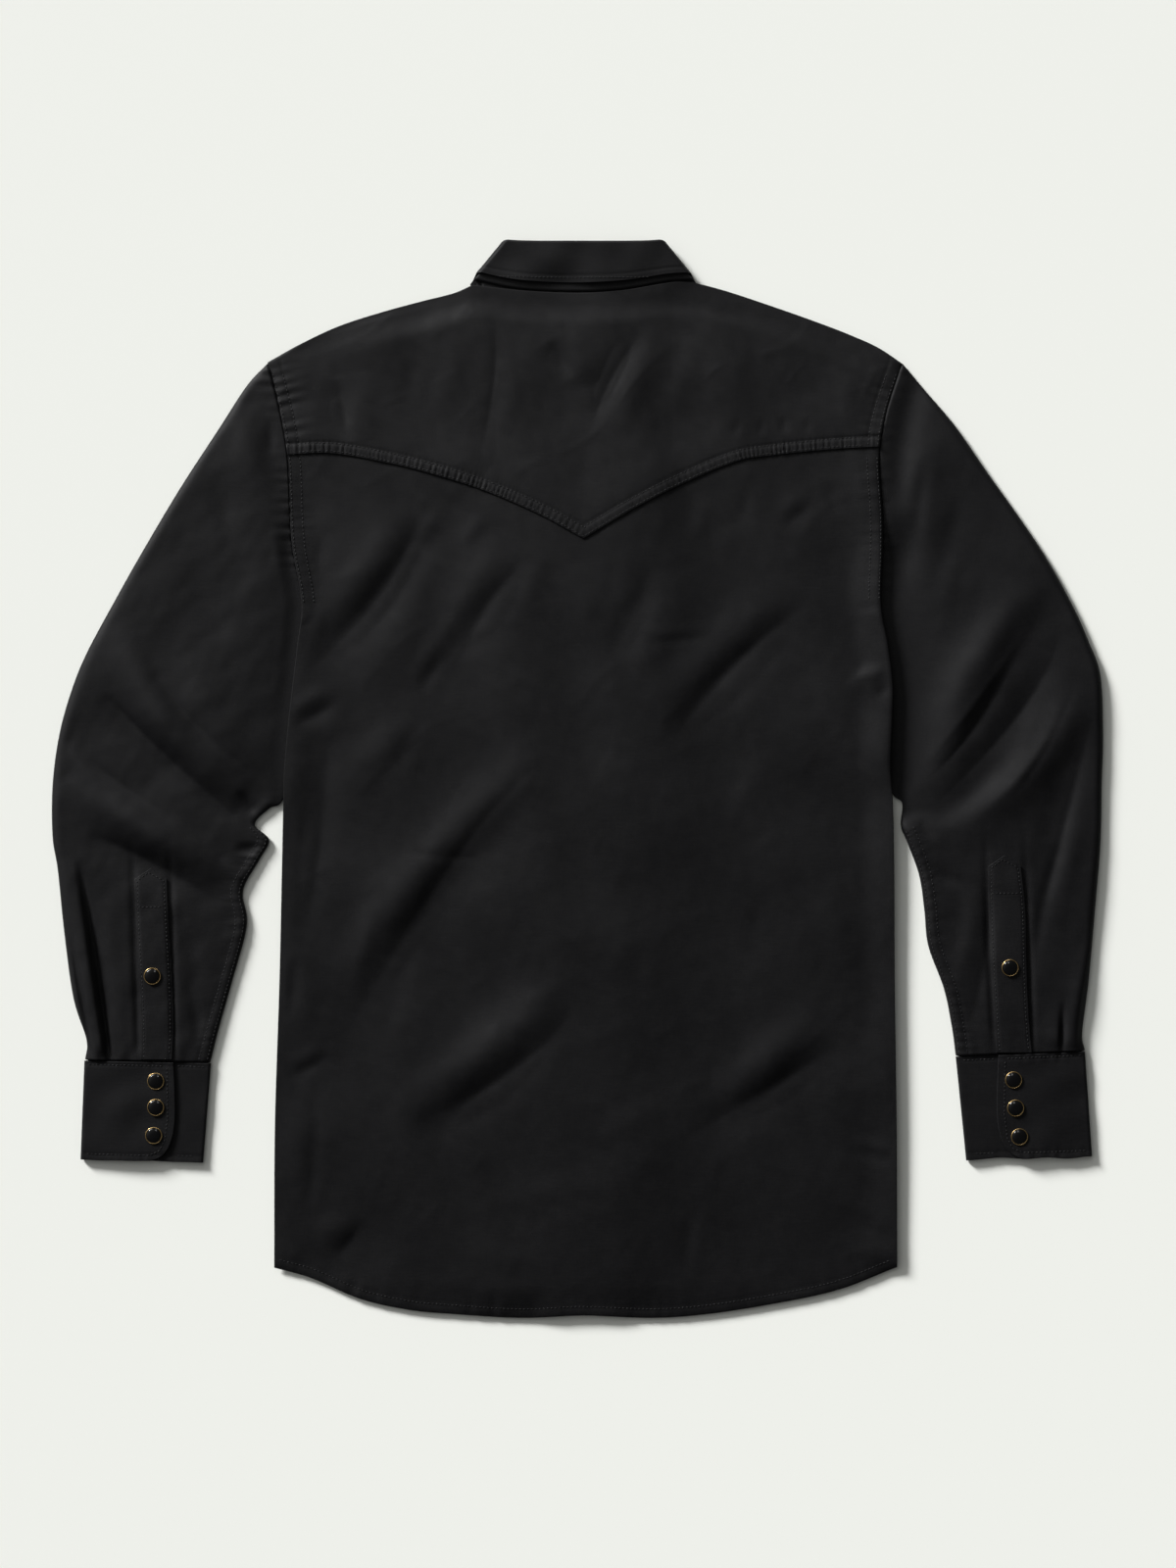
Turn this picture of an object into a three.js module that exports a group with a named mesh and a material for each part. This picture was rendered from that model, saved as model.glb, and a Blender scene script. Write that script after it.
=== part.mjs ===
// Western snap shirt of thin black cotton, laid flat on its front with its back up.
// Millimetres. +Z is up, +Y runs from the hem to the collar, +X is the wearer's right.
// The origin is under the middle of the outline, on the surface that the shirt lies on.

import * as THREE from "three";

// Driving dimensions
const CLOTH = 1.2; // wall of one layer of cloth
const BAND = 1.7; // wall of the interfaced collar, cuffs and plackets
const SEAM_GAP = 0.3; // between pieces that are sewn together
const ARMHOLE_GAP = 0.5; // between a sleeve and the body, whose edges curve
const YOKE_LAP = 9; // the yoke lies this far over the back body
const CENTRE_X = 5; // centre back and centre front
const NECK_HALF_WIDTH = 84;
const NECK_EASE = 3; // the front neckline is this much wider than the stand
const NECK_FRONT_Y = 301;
const NECK_SIDE_Y = 379;
const PLACKET_HALF_WIDTH = 17; // front placket strip
const STAND_HEIGHT = 38; // collar stand and fold, as they lie at the back
const FOLD_HALF_WIDTH = 59;
const SNAP_RADIUS = 6.5;
const FRONT_SNAPS = 7;
const FRONT_SNAP_HEIGHT = 1.7; // these caps rest on the surface below
const RAISED = 2; // underside of cloth that lies over the front snaps and the collar points

// A short table: the names of its columns, then a row for each section, fold or place.
function table(names, rows) {
  const keys = names.split(" ");
  return rows.map((row) => Object.fromEntries(keys.map((key, i) => [key, row[i]])));
}

// The left and right sides of the back at each height. leftRim and rightRim are the height of
// the underside along the sides, which lies over the sleeves from the armhole down to the
// elbow, and tuck is how far the sleeves reach in under it.
const SIDES = table("y left right leftRim rightRim tuck", [
  [-374, -232, 245, 2.2, 4, 0],
  [-266, -231.5, 244.5, 2.4, 5, 0],
  [-155, -228, 243, 2.4, 5.2, 0],
  [-64, -226, 242.5, 2.8, 6, 0],
  [-18, -225, 241.5, 3.7, 6.4, 2],
  [4, -224.5, 240, 3.8, 6.2, 9],
  [45, -221, 241.5, 3.8, 5.8, 11],
  [71, -218, 242, 3.8, 5.8, 12],
  [101, -214.5, 238.5, 3.8, 5.8, 11],
  [133, -211, 233, 3.8, 5.2, 6],
  [176, -218, 234, 3.4, 4, 1],
  [201, -220, 234, 3, 3.2, 0],
  [248, -222, 231.5, 3, 3, 0],
  [278, -227, 236, 2.7, 2.7, 0],
  [318, -237, 249, 1.6, 1.6, 0],
]);

const HEM = table("x y", [
  [-232, -374.5],
  [-205, -382],
  [-166, -398.5],
  [-128, -407],
  [-95, -410],
  [-43, -413],
  [5, -411],
  [57, -413],
  [96, -410.5],
  [146, -403],
  [200, -391.5],
  [245, -374],
]);

// A row whose corner is 1 is a sharp point of the outline.
const YOKE_SEAM = table("x y corner", [
  [-222, 248, 0],
  [-188, 249, 0],
  [-142, 241, 0],
  [-116, 234.5, 0],
  [-73, 221, 0],
  [-30, 202.5, 0],
  [5, 183.5, 1],
  [42, 205.5, 0],
  [83, 226.5, 0],
  [123, 243, 0],
  [146, 247, 0],
  [194, 252, 0],
  [232, 254, 0],
]);

// The shoulders and the back of the neck, with the height of the underside there.
const SHOULDERS = table("x y corner rim", [
  [-237, 319, 0, 1.6],
  [-212, 333, 0, 1.6],
  [-183, 346.5, 0, 1.6],
  [-151, 357, 0, 1.6],
  [-118, 366, 0, 1.8],
  [-94, 372, 0, 3],
  [-80, 378, 1, 4.2],
  [-38, 373.5, 0, 5],
  [2, 372, 0, 5],
  [35, 374, 0, 5],
  [72, 380, 0, 4.8],
  [87, 380.5, 1, 4.2],
  [114, 373.5, 0, 2.4],
  [149, 362, 0, 1.6],
  [183, 350, 0, 1.6],
  [209, 340, 0, 1.6],
  [231, 330, 0, 1.6],
  [249, 318, 0, 1.6],
]);

// Sections of each sleeve from the armhole to the cuff: its outer and inner edge, and how
// high the sleeve stands near each edge.
const LEFT_SLEEVE = table("outerX outerY innerX innerY outerLoft innerLoft", [
  [-237, 318, -210, 131, 5, 3.2],
  [-253, 301, -205, 116, 5.5, 3.2],
  [-274, 269, -206, 100, 6, 3.2],
  [-304, 223, -209, 71, 6, 3.2],
  [-332, 176, -212.5, 41, 6, 3.2],
  [-354, 137, -217, 11, 6, 3.2],
  [-376, 96, -226, -17, 6, 4],
  [-388, 66, -236, -23, 6, 4.6],
  [-397, 33, -247, -35, 6, 4.4],
  [-402, -5, -236, -47, 6, 4.4],
  [-402, -44, -244, -63, 6, 4.4],
  [-398, -70, -256, -86, 6, 4.4],
  [-393, -118, -253, -112, 6, 4.4],
  [-386, -168, -264, -154, 6, 4.4],
  [-376, -200, -275, -193, 6, 4.4],
  [-377, -215, -281, -217, 6, 4.4],
]);

const RIGHT_SLEEVE = table("outerX outerY innerX innerY outerLoft innerLoft", [
  [249, 318, 232.5, 133, 5, 3.2],
  [265, 299, 227, 116, 5.5, 3.2],
  [289, 271, 230, 97, 6, 3.2],
  [314, 235, 233, 71, 6, 3.2],
  [341, 197, 233, 41, 6.4, 3.2],
  [362, 165, 232, 10, 6.8, 3.2],
  [381, 130, 242, -12, 7, 4],
  [392, 105, 249, -19, 7, 6],
  [401, 79, 248, -36, 7, 6],
  [403, 33, 253, -49, 7, 6],
  [402, -3, 262, -74, 7, 6],
  [401, -49, 266, -101, 7, 6],
  [397, -98, 269, -128, 7, 6],
  [392, -154, 281, -161, 7, 6],
  [387, -194, 287, -190, 6.6, 5.5],
  [389, -208, 290, -212, 6, 5],
]);

// Folds: each runs from point 1 through point 2 to point 3. A height above 0 is a ridge and
// one below 0 is a trough, and width is half of the fold's spread.
const FOLD_COLUMNS = "x1 y1 x2 y2 x3 y3 width height";
const FOLD_TAPER = 1.2; // how softly a fold runs out at both ends

const BACK_FOLDS = table(FOLD_COLUMNS, [
  [-17, 26, -116, -70, -192, -174, 18, 4.2],
  [-12, 8, -104, -84, -182, -214, 16, -1.6],
  [7, -140, -76, -214, -146, -262, 17, 3.6],
  [6, -166, -62, -236, -134, -280, 14, -1.5],
  [190, -184, 146, -216, 104, -260, 16, 3.4],
  [206, -200, 152, -238, 82, -282, 14, -1.5],
  [-119, 200, -146, 146, -210, 78, 15, -2.4],
  [-128, 214, -164, 152, -214, 108, 16, 2.6],
  [-38, 172, -66, 132, -92, 90, 15, -1.8],
  [-52, 178, -84, 140, -132, 76, 16, 2.3],
  [-116, 180, -124, 130, -170, 70, 16, 1.8],
  [-121, 45, -150, 20, -206, -20, 18, 1.8],
  [-192, 40, -200, -50, -218, -180, 14, -1.3],
  [-164, -336, -184, -346, -204, -356, 12, 1.8],
  [179, 136, 122, 84, 70, 26, 15, -2.4],
  [168, 148, 108, 96, 52, 44, 17, 2.4],
  [57, 165, 44, 114, 24, 90, 16, -1.5],
  [72, 160, 60, 110, 40, 80, 16, 1.5],
  [210, 78, 222, 74, 240, 82, 10, 1.4],
]);

const YOKE_FOLDS = table(FOLD_COLUMNS, [
  [-22, 335, -14, 322, -4, 306, 11, -1.3],
  [-10, 346, 2, 322, 8, 300, 14, 1.6],
  [50, 342, 30, 312, 11, 266, 12, -2],
  [66, 344, 46, 310, 24, 262, 14, 1.9],
  [-184, 306, -181, 282, -175, 257, 12, -1.3],
  [-170, 312, -166, 284, -160, 258, 12, 1.3],
  [-64, 345, -62, 300, -76, 238, 8, -0.8],
]);

const LEFT_SLEEVE_FOLDS = table(FOLD_COLUMNS, [
  [-355, 119, -314, 42, -254, -18, 16, 4.6],
  [-362, 62, -318, 14, -256, -34, 11, -2.2],
  [-388, 6, -336, -36, -264, -76, 16, 4.6],
  [-376, -46, -330, -66, -270, -98, 12, -1.8],
  [-254, 288, -250, 250, -232, 190, 14, 2],
  [-304, 96, -276, 40, -240, 4, 16, 2.4],
  [-380, -62, -366, -140, -357, -212, 7, -1.6],
]);

const RIGHT_SLEEVE_FOLDS = table(FOLD_COLUMNS, [
  [356, 154, 304, 86, 250, 2, 16, 5.2],
  [370, 122, 330, 38, 256, -36, 12, -2.6],
  [388, 76, 352, 14, 286, -48, 15, 4.8],
  [398, 60, 366, -30, 348, -110, 12, -2],
  [330, 110, 296, 52, 262, 2, 12, 2],
  [280, 268, 258, 220, 246, 160, 14, 2],
  [392, -150, 389, -182, 384, -206, 7, -1.6],
]);

// Cuffs: the corners, where the overlapping end and the end under it lie, and the snaps.
const CUFFS = {
  left: {
    side: -1,
    outerTop: [-377.5, -215.6],
    innerTop: [-280.5, -217.6],
    innerBottom: [-286.5, -294],
    outerBottom: [-380.5, -292],
    overlapX: -309,
    underlapX: -336,
    snaps: [
      [-322.5, -231.5],
      [-322.5, -251.5],
      [-324, -273],
    ],
  },
  right: {
    side: 1,
    outerTop: [389, -208.6],
    innerTop: [290, -212.6],
    innerBottom: [298, -292],
    outerBottom: [394.5, -289.5],
    overlapX: 322.5,
    underlapX: 350,
    snaps: [
      [334, -230.5],
      [335.5, -252],
      [338.5, -274],
    ],
  },
};

// How far the rounded corner of a cuff's overlapping end draws back down its depth.
const CUFF_CORNER = table("down back", [
  [0, 0],
  [0.3, -1],
  [0.6, -1],
  [0.8, 2],
  [0.9, 6],
  [0.96, 11],
  [1, 18],
]);

// Sleeve plackets: left and right edge at each height, under a pointed end.
const SLEEVE_PLACKETS = {
  left: {
    tip: [-328.5, -68.5],
    shoulderY: -77,
    snap: [-325, -151],
    edges: table("y left right", [
      [-214.9, -334, -310],
      [-188, -334, -309],
      [-152, -335.5, -310],
      [-107, -338, -312.5],
      [-77, -339, -314],
      [-68, -339, -314],
    ]),
  },
  right: {
    tip: [325, -58.5],
    shoulderY: -67,
    snap: [331, -144.5],
    edges: table("y left right", [
      [-209.6, 321, 348],
      [-180, 319, 345.5],
      [-143, 316.5, 344],
      [-98, 315, 343],
      [-67, 314.5, 339.5],
      [-58, 314.5, 339.5],
    ]),
  },
};

const COLOURS = {
  cotton: { color: 0x17171a, roughness: 0.9, metalness: 0 },
  capEnamel: { color: 0x050506, roughness: 0.15, metalness: 0 },
  ringMetal: { color: 0xb08a4a, roughness: 0.3, metalness: 1 },
};

const { clamp, lerp, smoothstep } = THREE.MathUtils;

// The slope of a table's curve at one row, from its neighbours, or one-sided at a corner.
function slopeAt(rows, along, key, i, after) {
  const cornerSide = after ? [i, i + 1] : [i - 1, i];
  const [from, to] = rows[i].corner === 1 ? cornerSide : [i - 1, i + 1];
  const a = rows[Math.max(from, 0)];
  const b = rows[Math.min(to, rows.length - 1)];
  return (b[key] - a[key]) / (b[along] - a[along]);
}

// One column's value at a place along the table, on a smooth curve through its rows.
function valueAt(rows, along, key, place) {
  let i = 0;
  while (i < rows.length - 2 && place > rows[i + 1][along]) i += 1;
  const span = rows[i + 1][along] - rows[i][along];
  const t = clamp((place - rows[i][along]) / span, 0, 1);
  const ease = t * t * (3 - 2 * t);
  const startSlope = slopeAt(rows, along, key, i, true) * span;
  const endSlope = slopeAt(rows, along, key, i + 1, false) * span;
  const bulge = t * (1 - t) * ((1 - t) * startSlope - t * endSlope);
  return lerp(rows[i][key], rows[i + 1][key], ease) + bulge;
}

const sideAt = (key, y) => valueAt(SIDES, "y", key, y);
const hemAt = (x) => valueAt(HEM, "x", "y", x);
const yokeSeamAt = (x) => valueAt(YOKE_SEAM, "x", "y", x);
const shoulderAt = (x) => valueAt(SHOULDERS, "x", "y", x);

// The front neckline: half an oval between the two neck points.
function frontNeckAt(x) {
  const across = clamp(Math.abs(x - CENTRE_X) / (NECK_HALF_WIDTH + NECK_EASE), 0, 1);
  const drop = NECK_SIDE_Y - NECK_FRONT_Y;
  return NECK_SIDE_Y - drop * Math.sqrt(1 - across * across);
}

// Points along a fold, on a curve through its three places.
function foldPath(fold) {
  const middle = new THREE.Vector2(fold.x2, fold.y2);
  const start = new THREE.Vector2(fold.x1, fold.y1);
  const end = new THREE.Vector2(fold.x3, fold.y3);
  const pull = middle.clone().multiplyScalar(2);
  pull.sub(start.clone().add(end).multiplyScalar(0.5));
  return new THREE.QuadraticBezierCurve(start, pull, end).getPoints(10);
}

// A function that gives the height that a table of folds adds at a place.
function foldField(folds) {
  const paths = folds.map((fold) => ({ fold, points: foldPath(fold) }));
  return (x, y) => {
    let height = 0;
    for (const { fold, points } of paths) {
      let nearest = Infinity;
      let along = 0;
      for (let i = 0; i < points.length - 1; i += 1) {
        const [a, b] = [points[i], points[i + 1]];
        const [dx, dy] = [b.x - a.x, b.y - a.y];
        const t = clamp(((x - a.x) * dx + (y - a.y) * dy) / (dx * dx + dy * dy), 0, 1);
        const distance = Math.hypot(x - a.x - t * dx, y - a.y - t * dy);
        if (distance < nearest) {
          nearest = distance;
          along = (i + t) / (points.length - 1);
        }
      }
      const taper = Math.sin(Math.PI * along) ** FOLD_TAPER;
      height += fold.height * taper * Math.exp(-((nearest / fold.width) ** 2));
    }
    return height;
  };
}

const backFolds = foldField(BACK_FOLDS);
const yokeFolds = foldField(YOKE_FOLDS);

// A rounded roll along an edge: it is highest at its width from the edge.
function roll(fromEdge, size) {
  const t = Math.max(fromEdge, 0) / size.width;
  return size.height * t * Math.exp(1 - t);
}

// How far out from the centre and how high up the cloth begins and ends to rise over the
// placket's snaps and the collar points: steeply in the fronts, and gently in the back.
const STRIP_TOP = PLACKET_HALF_WIDTH + 3;
const FRONT_RISE = { strip: 45, points: [94, 118], up: [225, 250] };
const BACK_RISES = { strip: 125, points: [94, 150], up: [190, 250] };
const OVER_LEFT_FRONT = RAISED;
const OVER_RIGHT_FRONT = RAISED + CLOTH + SEAM_GAP;

// How far a panel is raised over the placket's snaps and the collar points.
function raiseAt(x, y, overPlacket, rise) {
  const fromCentre = Math.abs(x - CENTRE_X);
  const strip = overPlacket * (1 - smoothstep(fromCentre, STRIP_TOP, rise.strip));
  const collarPoints = RAISED * (1 - smoothstep(fromCentre, ...rise.points)) * smoothstep(y, ...rise.up);
  return Math.max(strip, collarPoints);
}

const SETTLE = 26; // the back settles over this far from its edges
const CORNER = 10; // the hem's height turns into the sides' over this far
const SIDE_ROLL = { width: 9, height: 1.1 };
const TOP_ROLL_SIZE = { width: 9, height: 2.8 };
const HEM_ROLL = { width: 6, height: 0.6 };
const EDGE_CALM = [2, 18]; // the folds run out between these distances from an edge
const SPARE = 1.9; // room between the back and the fronts
const DEEPEST = 0.7; // a trough sinks no further below the settled cloth
const HEM_LIFT = 1.3; // the back clears the raised fronts by this factor at the hem
const INSIDE_LIFT = 1.1; // and by this one inside

// How far a place on the back lies from each of its edges.
function edgesAt(x, y) {
  const fromLeft = x - sideAt("left", y);
  const fromRight = sideAt("right", y) - x;
  const fromSide = Math.min(fromLeft, fromRight);
  const side = fromLeft < fromRight ? "left" : "right";
  return { side, fromSide, fromHem: y - hemAt(x), fromTop: shoulderAt(x) - y };
}

// The height of the back's underside along the edge that is nearest.
function rimAt(x, y, edges) {
  const topRim = valueAt(SHOULDERS, "x", "rim", x);
  const sideRim = sideAt(`${edges.side}Rim`, y);
  const hemRim = CLOTH + 1.5 * SEAM_GAP + HEM_LIFT * raiseAt(x, y, OVER_RIGHT_FRONT, FRONT_RISE);
  const atSides = lerp(topRim, sideRim, smoothstep(edges.fromTop, 0, SETTLE));
  return lerp(hemRim, atSides, smoothstep(edges.fromHem - edges.fromSide, -CORNER, CORNER));
}

// The underside of the back cloth: rolled along its edges, and over the fronts inside, with
// the folds on top.
function backUnder(x, y) {
  const edges = edgesAt(x, y);
  const { fromSide, fromHem, fromTop } = edges;
  const fromEdge = Math.max(0, Math.min(fromSide, fromHem, fromTop));
  const raised = Math.max(
    raiseAt(x, y, OVER_RIGHT_FRONT, BACK_RISES),
    raiseAt(x, y, OVER_RIGHT_FRONT, FRONT_RISE),
  );
  const neckRim = valueAt(SHOULDERS, "x", "rim", x) * (1 - smoothstep(fromTop, 0, SETTLE));
  const inside = Math.max(CLOTH + SPARE + INSIDE_LIFT * raised, neckRim);
  const settled = lerp(rimAt(x, y, edges), inside, smoothstep(fromEdge, 0, SETTLE));
  const outerRoll = Math.min(roll(fromSide, SIDE_ROLL), roll(fromTop, TOP_ROLL_SIZE));
  const folds = (backFolds(x, y) + yokeFolds(x, y)) * smoothstep(fromEdge, ...EDGE_CALM);
  return Math.max(settled + outerRoll + roll(fromHem, HEM_ROLL) + folds, settled - DEEPEST);
}

const CURL = 24; // the fronts curl up over this far from the sides, below the sleeves
const CURL_END = [-62, -34]; // the curl runs out between these heights along the sides

// The underside of a front: flat on the surface, curled up at the side to meet the back.
function frontUnder(x, y, overPlacket) {
  const edges = edgesAt(x, y);
  const seam = CLOTH + 1.5 * SEAM_GAP;
  const atSide = 1 - smoothstep(edges.fromSide, 0, CURL);
  const curl = Math.max(0, rimAt(x, y, edges) - seam) * atSide * (1 - smoothstep(y, ...CURL_END));
  return Math.max(curl, raiseAt(x, y, overPlacket, FRONT_RISE));
}

const SLOPE_STEP = 0.5;
const THICKEST = 1.5; // times the cloth, on the steepest slopes

// The wall measured straight up, which is thicker than the cloth where the cloth slopes.
function uprightWall(under, x, y) {
  const slopeX = (under(x + SLOPE_STEP, y) - under(x - SLOPE_STEP, y)) / (2 * SLOPE_STEP);
  const slopeY = (under(x, y + SLOPE_STEP) - under(x, y - SLOPE_STEP)) / (2 * SLOPE_STEP);
  return CLOTH * Math.min(Math.hypot(1, slopeX, slopeY), THICKEST);
}

// A closed mesh from points and triangles, turned so that its faces point out.
function closedGeometry(points, triangles) {
  const corner = triangles.map((triangle) => triangle.map((i) => points[i]));
  const cross = new THREE.Vector3();
  const volume = corner.reduce((sum, [a, b, c]) => sum + a.dot(cross.crossVectors(b, c)), 0);
  const outwards = volume > 0 ? triangles : triangles.map(([a, b, c]) => [a, c, b]);
  const geometry = new THREE.BufferGeometry();
  geometry.setFromPoints(points);
  geometry.setIndex(outwards.flat());
  geometry.computeVertexNormals();
  return geometry;
}

// The triangles of a grid of columns and rows, whose first point has the given number.
function gridTriangles(columns, rows, first) {
  const triangles = [];
  for (let i = 0; i < columns; i += 1) {
    for (let j = 0; j < rows; j += 1) {
      const a = first + i * (rows + 1) + j;
      const b = a + rows + 1;
      triangles.push([a, b, b + 1], [a, b + 1, a + 1]);
    }
  }
  return triangles;
}

// A wall between two faces of the same grid: point(i, j) gives both faces' points.
function wall(columns, rows, point) {
  const outside = [];
  const inside = [];
  for (let i = 0; i <= columns; i += 1) {
    for (let j = 0; j <= rows; j += 1) {
      const faces = point(i, j);
      outside.push(faces.outside);
      inside.push(faces.inside);
    }
  }
  const shift = outside.length;
  const at = (i, j) => i * (rows + 1) + j;
  const triangles = gridTriangles(columns, rows, 0);
  for (const [a, b, c] of gridTriangles(columns, rows, shift)) triangles.push([a, c, b]);
  const close = (a, b) => triangles.push([a, a + shift, b + shift], [a, b + shift, b]);
  for (let i = 0; i < columns; i += 1) {
    close(at(i, 0), at(i + 1, 0));
    close(at(i + 1, rows), at(i, rows));
  }
  for (let j = 0; j < rows; j += 1) {
    close(at(0, j + 1), at(0, j));
    close(at(columns, j), at(columns, j + 1));
  }
  return closedGeometry([...outside, ...inside], triangles);
}

// A tube wall through rings of outer and inner points, open at both ends.
function tubeWall(rings) {
  const around = rings[0].outer.length;
  const last = rings.length - 1;
  const points = [...rings.flatMap((ring) => ring.outer), ...rings.flatMap((ring) => ring.inner)];
  const shift = around * rings.length;
  const triangles = [];
  for (let k = 0; k < around; k += 1) {
    const next = (k + 1) % around;
    for (let j = 0; j < last; j += 1) {
      const [a, b] = [j * around + k, j * around + next];
      const [c, d] = [a + around, b + around];
      triangles.push([a, b, d], [a, d, c]);
      triangles.push([a + shift, d + shift, b + shift], [a + shift, c + shift, d + shift]);
    }
    const end = last * around;
    triangles.push([next, k, k + shift], [next, k + shift, next + shift]);
    triangles.push([end + k, end + next, end + next + shift]);
    triangles.push([end + k, end + next + shift, end + k + shift]);
  }
  return closedGeometry(points, triangles);
}

// The height of a grid's outer face above a place, read from its flat facets.
function facetHeight(cells, x, y) {
  const place = new THREE.Vector3(x, y, 0);
  const weights = new THREE.Vector3();
  const onEdge = -0.001; // a place on a facet's edge counts as on the facet
  for (const cell of cells) {
    if (x < cell.low.x || x > cell.high.x || y < cell.low.y || y > cell.high.y) continue;
    const [a, b, c] = cell.flat;
    THREE.Triangle.getBarycoord(place, a, b, c, weights);
    if (Math.min(weights.x, weights.y, weights.z) < onEdge) continue;
    return weights.x * cell.z[0] + weights.y * cell.z[1] + weights.z * cell.z[2];
  }
  throw new Error(`nothing lies under ${x}, ${y}`);
}

// A facet seen from above, kept for facetHeight.
function facetCell(corners) {
  const flat = corners.map((p) => new THREE.Vector3(p.x, p.y, 0));
  const box = new THREE.Box3().setFromPoints(flat);
  return { flat, low: box.min, high: box.max, z: corners.map((p) => p.z) };
}

const shirt = new THREE.Group();

function addMesh(name, geometry, look) {
  const mesh = new THREE.Mesh(geometry, new THREE.MeshStandardMaterial(look));
  mesh.name = name;
  shirt.add(mesh);
  return mesh;
}

// Back body and yoke
// They share their columns, one of which is the centre back, and the rows in the lap, so the
// yoke lies evenly over the body there.
const BACK_COLUMNS = 30;
const BODY_ROWS = 32;
const YOKE_ROWS = 7;
const ROUNDS = 8; // enough to settle a place that is defined both across and along
const YOKE_SINKS = [2, 40]; // past the lap, the yoke sinks between these distances

function acrossBack(u, y) {
  const left = sideAt("left", y);
  const right = sideAt("right", y);
  return u < 0.5 ? lerp(left, CENTRE_X, 2 * u) : lerp(CENTRE_X, right, 2 * u - 1);
}

// The place at a column and at a share of the way between two lines across the back.
function backPlace(u, lowLine, highLine, share) {
  let y = 0;
  let x = acrossBack(u, y);
  for (let round = 0; round < ROUNDS; round += 1) {
    y = lerp(lowLine(x), highLine(x), share);
    x = acrossBack(u, y);
  }
  return { x, y };
}

const yokeLapAt = (x) => yokeSeamAt(x) + YOKE_LAP;

function bodyPlace(i, j) {
  const u = i / BACK_COLUMNS;
  if (j === BODY_ROWS) return backPlace(u, yokeSeamAt, yokeLapAt, 1);
  return backPlace(u, hemAt, yokeSeamAt, j / (BODY_ROWS - 1));
}

function yokePlace(i, j) {
  const u = i / BACK_COLUMNS;
  if (j === 0) return backPlace(u, yokeSeamAt, yokeLapAt, 0);
  return backPlace(u, yokeLapAt, shoulderAt, (j - 1) / (YOKE_ROWS - 1));
}

function bodyFaces(i, j) {
  const { x, y } = bodyPlace(i, j);
  const under = backUnder(x, y);
  const top = under + uprightWall(backUnder, x, y);
  return { outside: new THREE.Vector3(x, y, top), inside: new THREE.Vector3(x, y, under) };
}

// The yoke lies on the body at the lap and sinks to the fronts towards the shoulders.
function yokeFaces(i, j) {
  const { x, y } = yokePlace(i, j);
  const upright = uprightWall(backUnder, x, y);
  const pastLap = y - yokeLapAt(x);
  const onBody = (upright + SEAM_GAP) * (1 - smoothstep(pastLap, ...YOKE_SINKS));
  const under = backUnder(x, y) + onBody;
  const top = under + upright;
  return { outside: new THREE.Vector3(x, y, top), inside: new THREE.Vector3(x, y, under) };
}

addMesh("back_body", wall(BACK_COLUMNS, BODY_ROWS, bodyFaces), COLOURS.cotton);
addMesh("back_yoke", wall(BACK_COLUMNS, YOKE_ROWS, yokeFaces), COLOURS.cotton);

// Fronts
// Each is flat on the surface, raised over the snaps and the collar points and curled up at
// the side, and ends beside the sleeve that is tucked in under the back. Its columns are
// shares of the way from the side to the centre.
const FRONT_COLUMNS = [0, 0.035, 0.075, 0.12, 0.3, 0.44, 0.56, 0.7, 0.8, 0.86, 0.93, 1];
const FRONT_ROWS = 16;
const FRONT_INSET = 2;
const FRONT_OVERLAP = 3; // the right front reaches this far in under the placket's edge

function frontSide(side, y) {
  const tuck = sideAt("tuck", y) + FRONT_INSET;
  return side < 0 ? sideAt("left", y) + tuck : sideAt("right", y) - tuck;
}

function frontTopAt(x) {
  const inNeck = Math.abs(x - CENTRE_X) < NECK_HALF_WIDTH + NECK_EASE;
  return (inNeck ? frontNeckAt(x) : shoulderAt(x)) - FRONT_INSET;
}

function frontGeometry(side, centreX, overPlacket) {
  const point = (i, j) => {
    const share = j / FRONT_ROWS;
    let y = 0;
    let x = 0;
    for (let round = 0; round < ROUNDS; round += 1) {
      x = lerp(frontSide(side, y), centreX, FRONT_COLUMNS[i]);
      y = lerp(hemAt(x), frontTopAt(x), share);
    }
    const z = frontUnder(x, y, overPlacket);
    return { outside: new THREE.Vector3(x, y, z), inside: new THREE.Vector3(x, y, z + CLOTH) };
  };
  return wall(FRONT_COLUMNS.length - 1, FRONT_ROWS, point);
}

const placketLeft = CENTRE_X - PLACKET_HALF_WIDTH;
const placketRight = CENTRE_X + PLACKET_HALF_WIDTH;
const leftFront = frontGeometry(-1, placketLeft - SEAM_GAP, OVER_LEFT_FRONT);
const rightFront = frontGeometry(1, placketLeft + FRONT_OVERLAP, OVER_RIGHT_FRONT);
addMesh("front_left", leftFront, COLOURS.cotton);
addMesh("front_right", rightFront, COLOURS.cotton);

// Front placket strip, with its snaps facing the surface below
const STRIP_ROWS = 12;

function stripFaces(i, j) {
  const x = i === 0 ? placketLeft : placketRight;
  const y = lerp(hemAt(x), NECK_FRONT_Y - FRONT_INSET, j / STRIP_ROWS);
  return {
    outside: new THREE.Vector3(x, y, RAISED),
    inside: new THREE.Vector3(x, y, RAISED + CLOTH),
  };
}

addMesh("front_placket", wall(1, STRIP_ROWS, stripFaces), COLOURS.cotton);

// A solid turned about Z from a closed outline of [radius, height] places.
function turned(outline, segments) {
  const profile = outline.map(([radius, height]) => new THREE.Vector2(radius, height));
  const lathe = new THREE.LatheGeometry(profile, segments);
  return lathe.rotateX(Math.PI / 2);
}

const FRONT_SNAP_SIDES = 12;
const FRONT_SNAP_EDGE = 0.8; // height of the cap's bevelled edge
const TOP_SNAP_Y = NECK_FRONT_Y - 70;
const BOTTOM_SNAP_Y = -310;

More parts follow.
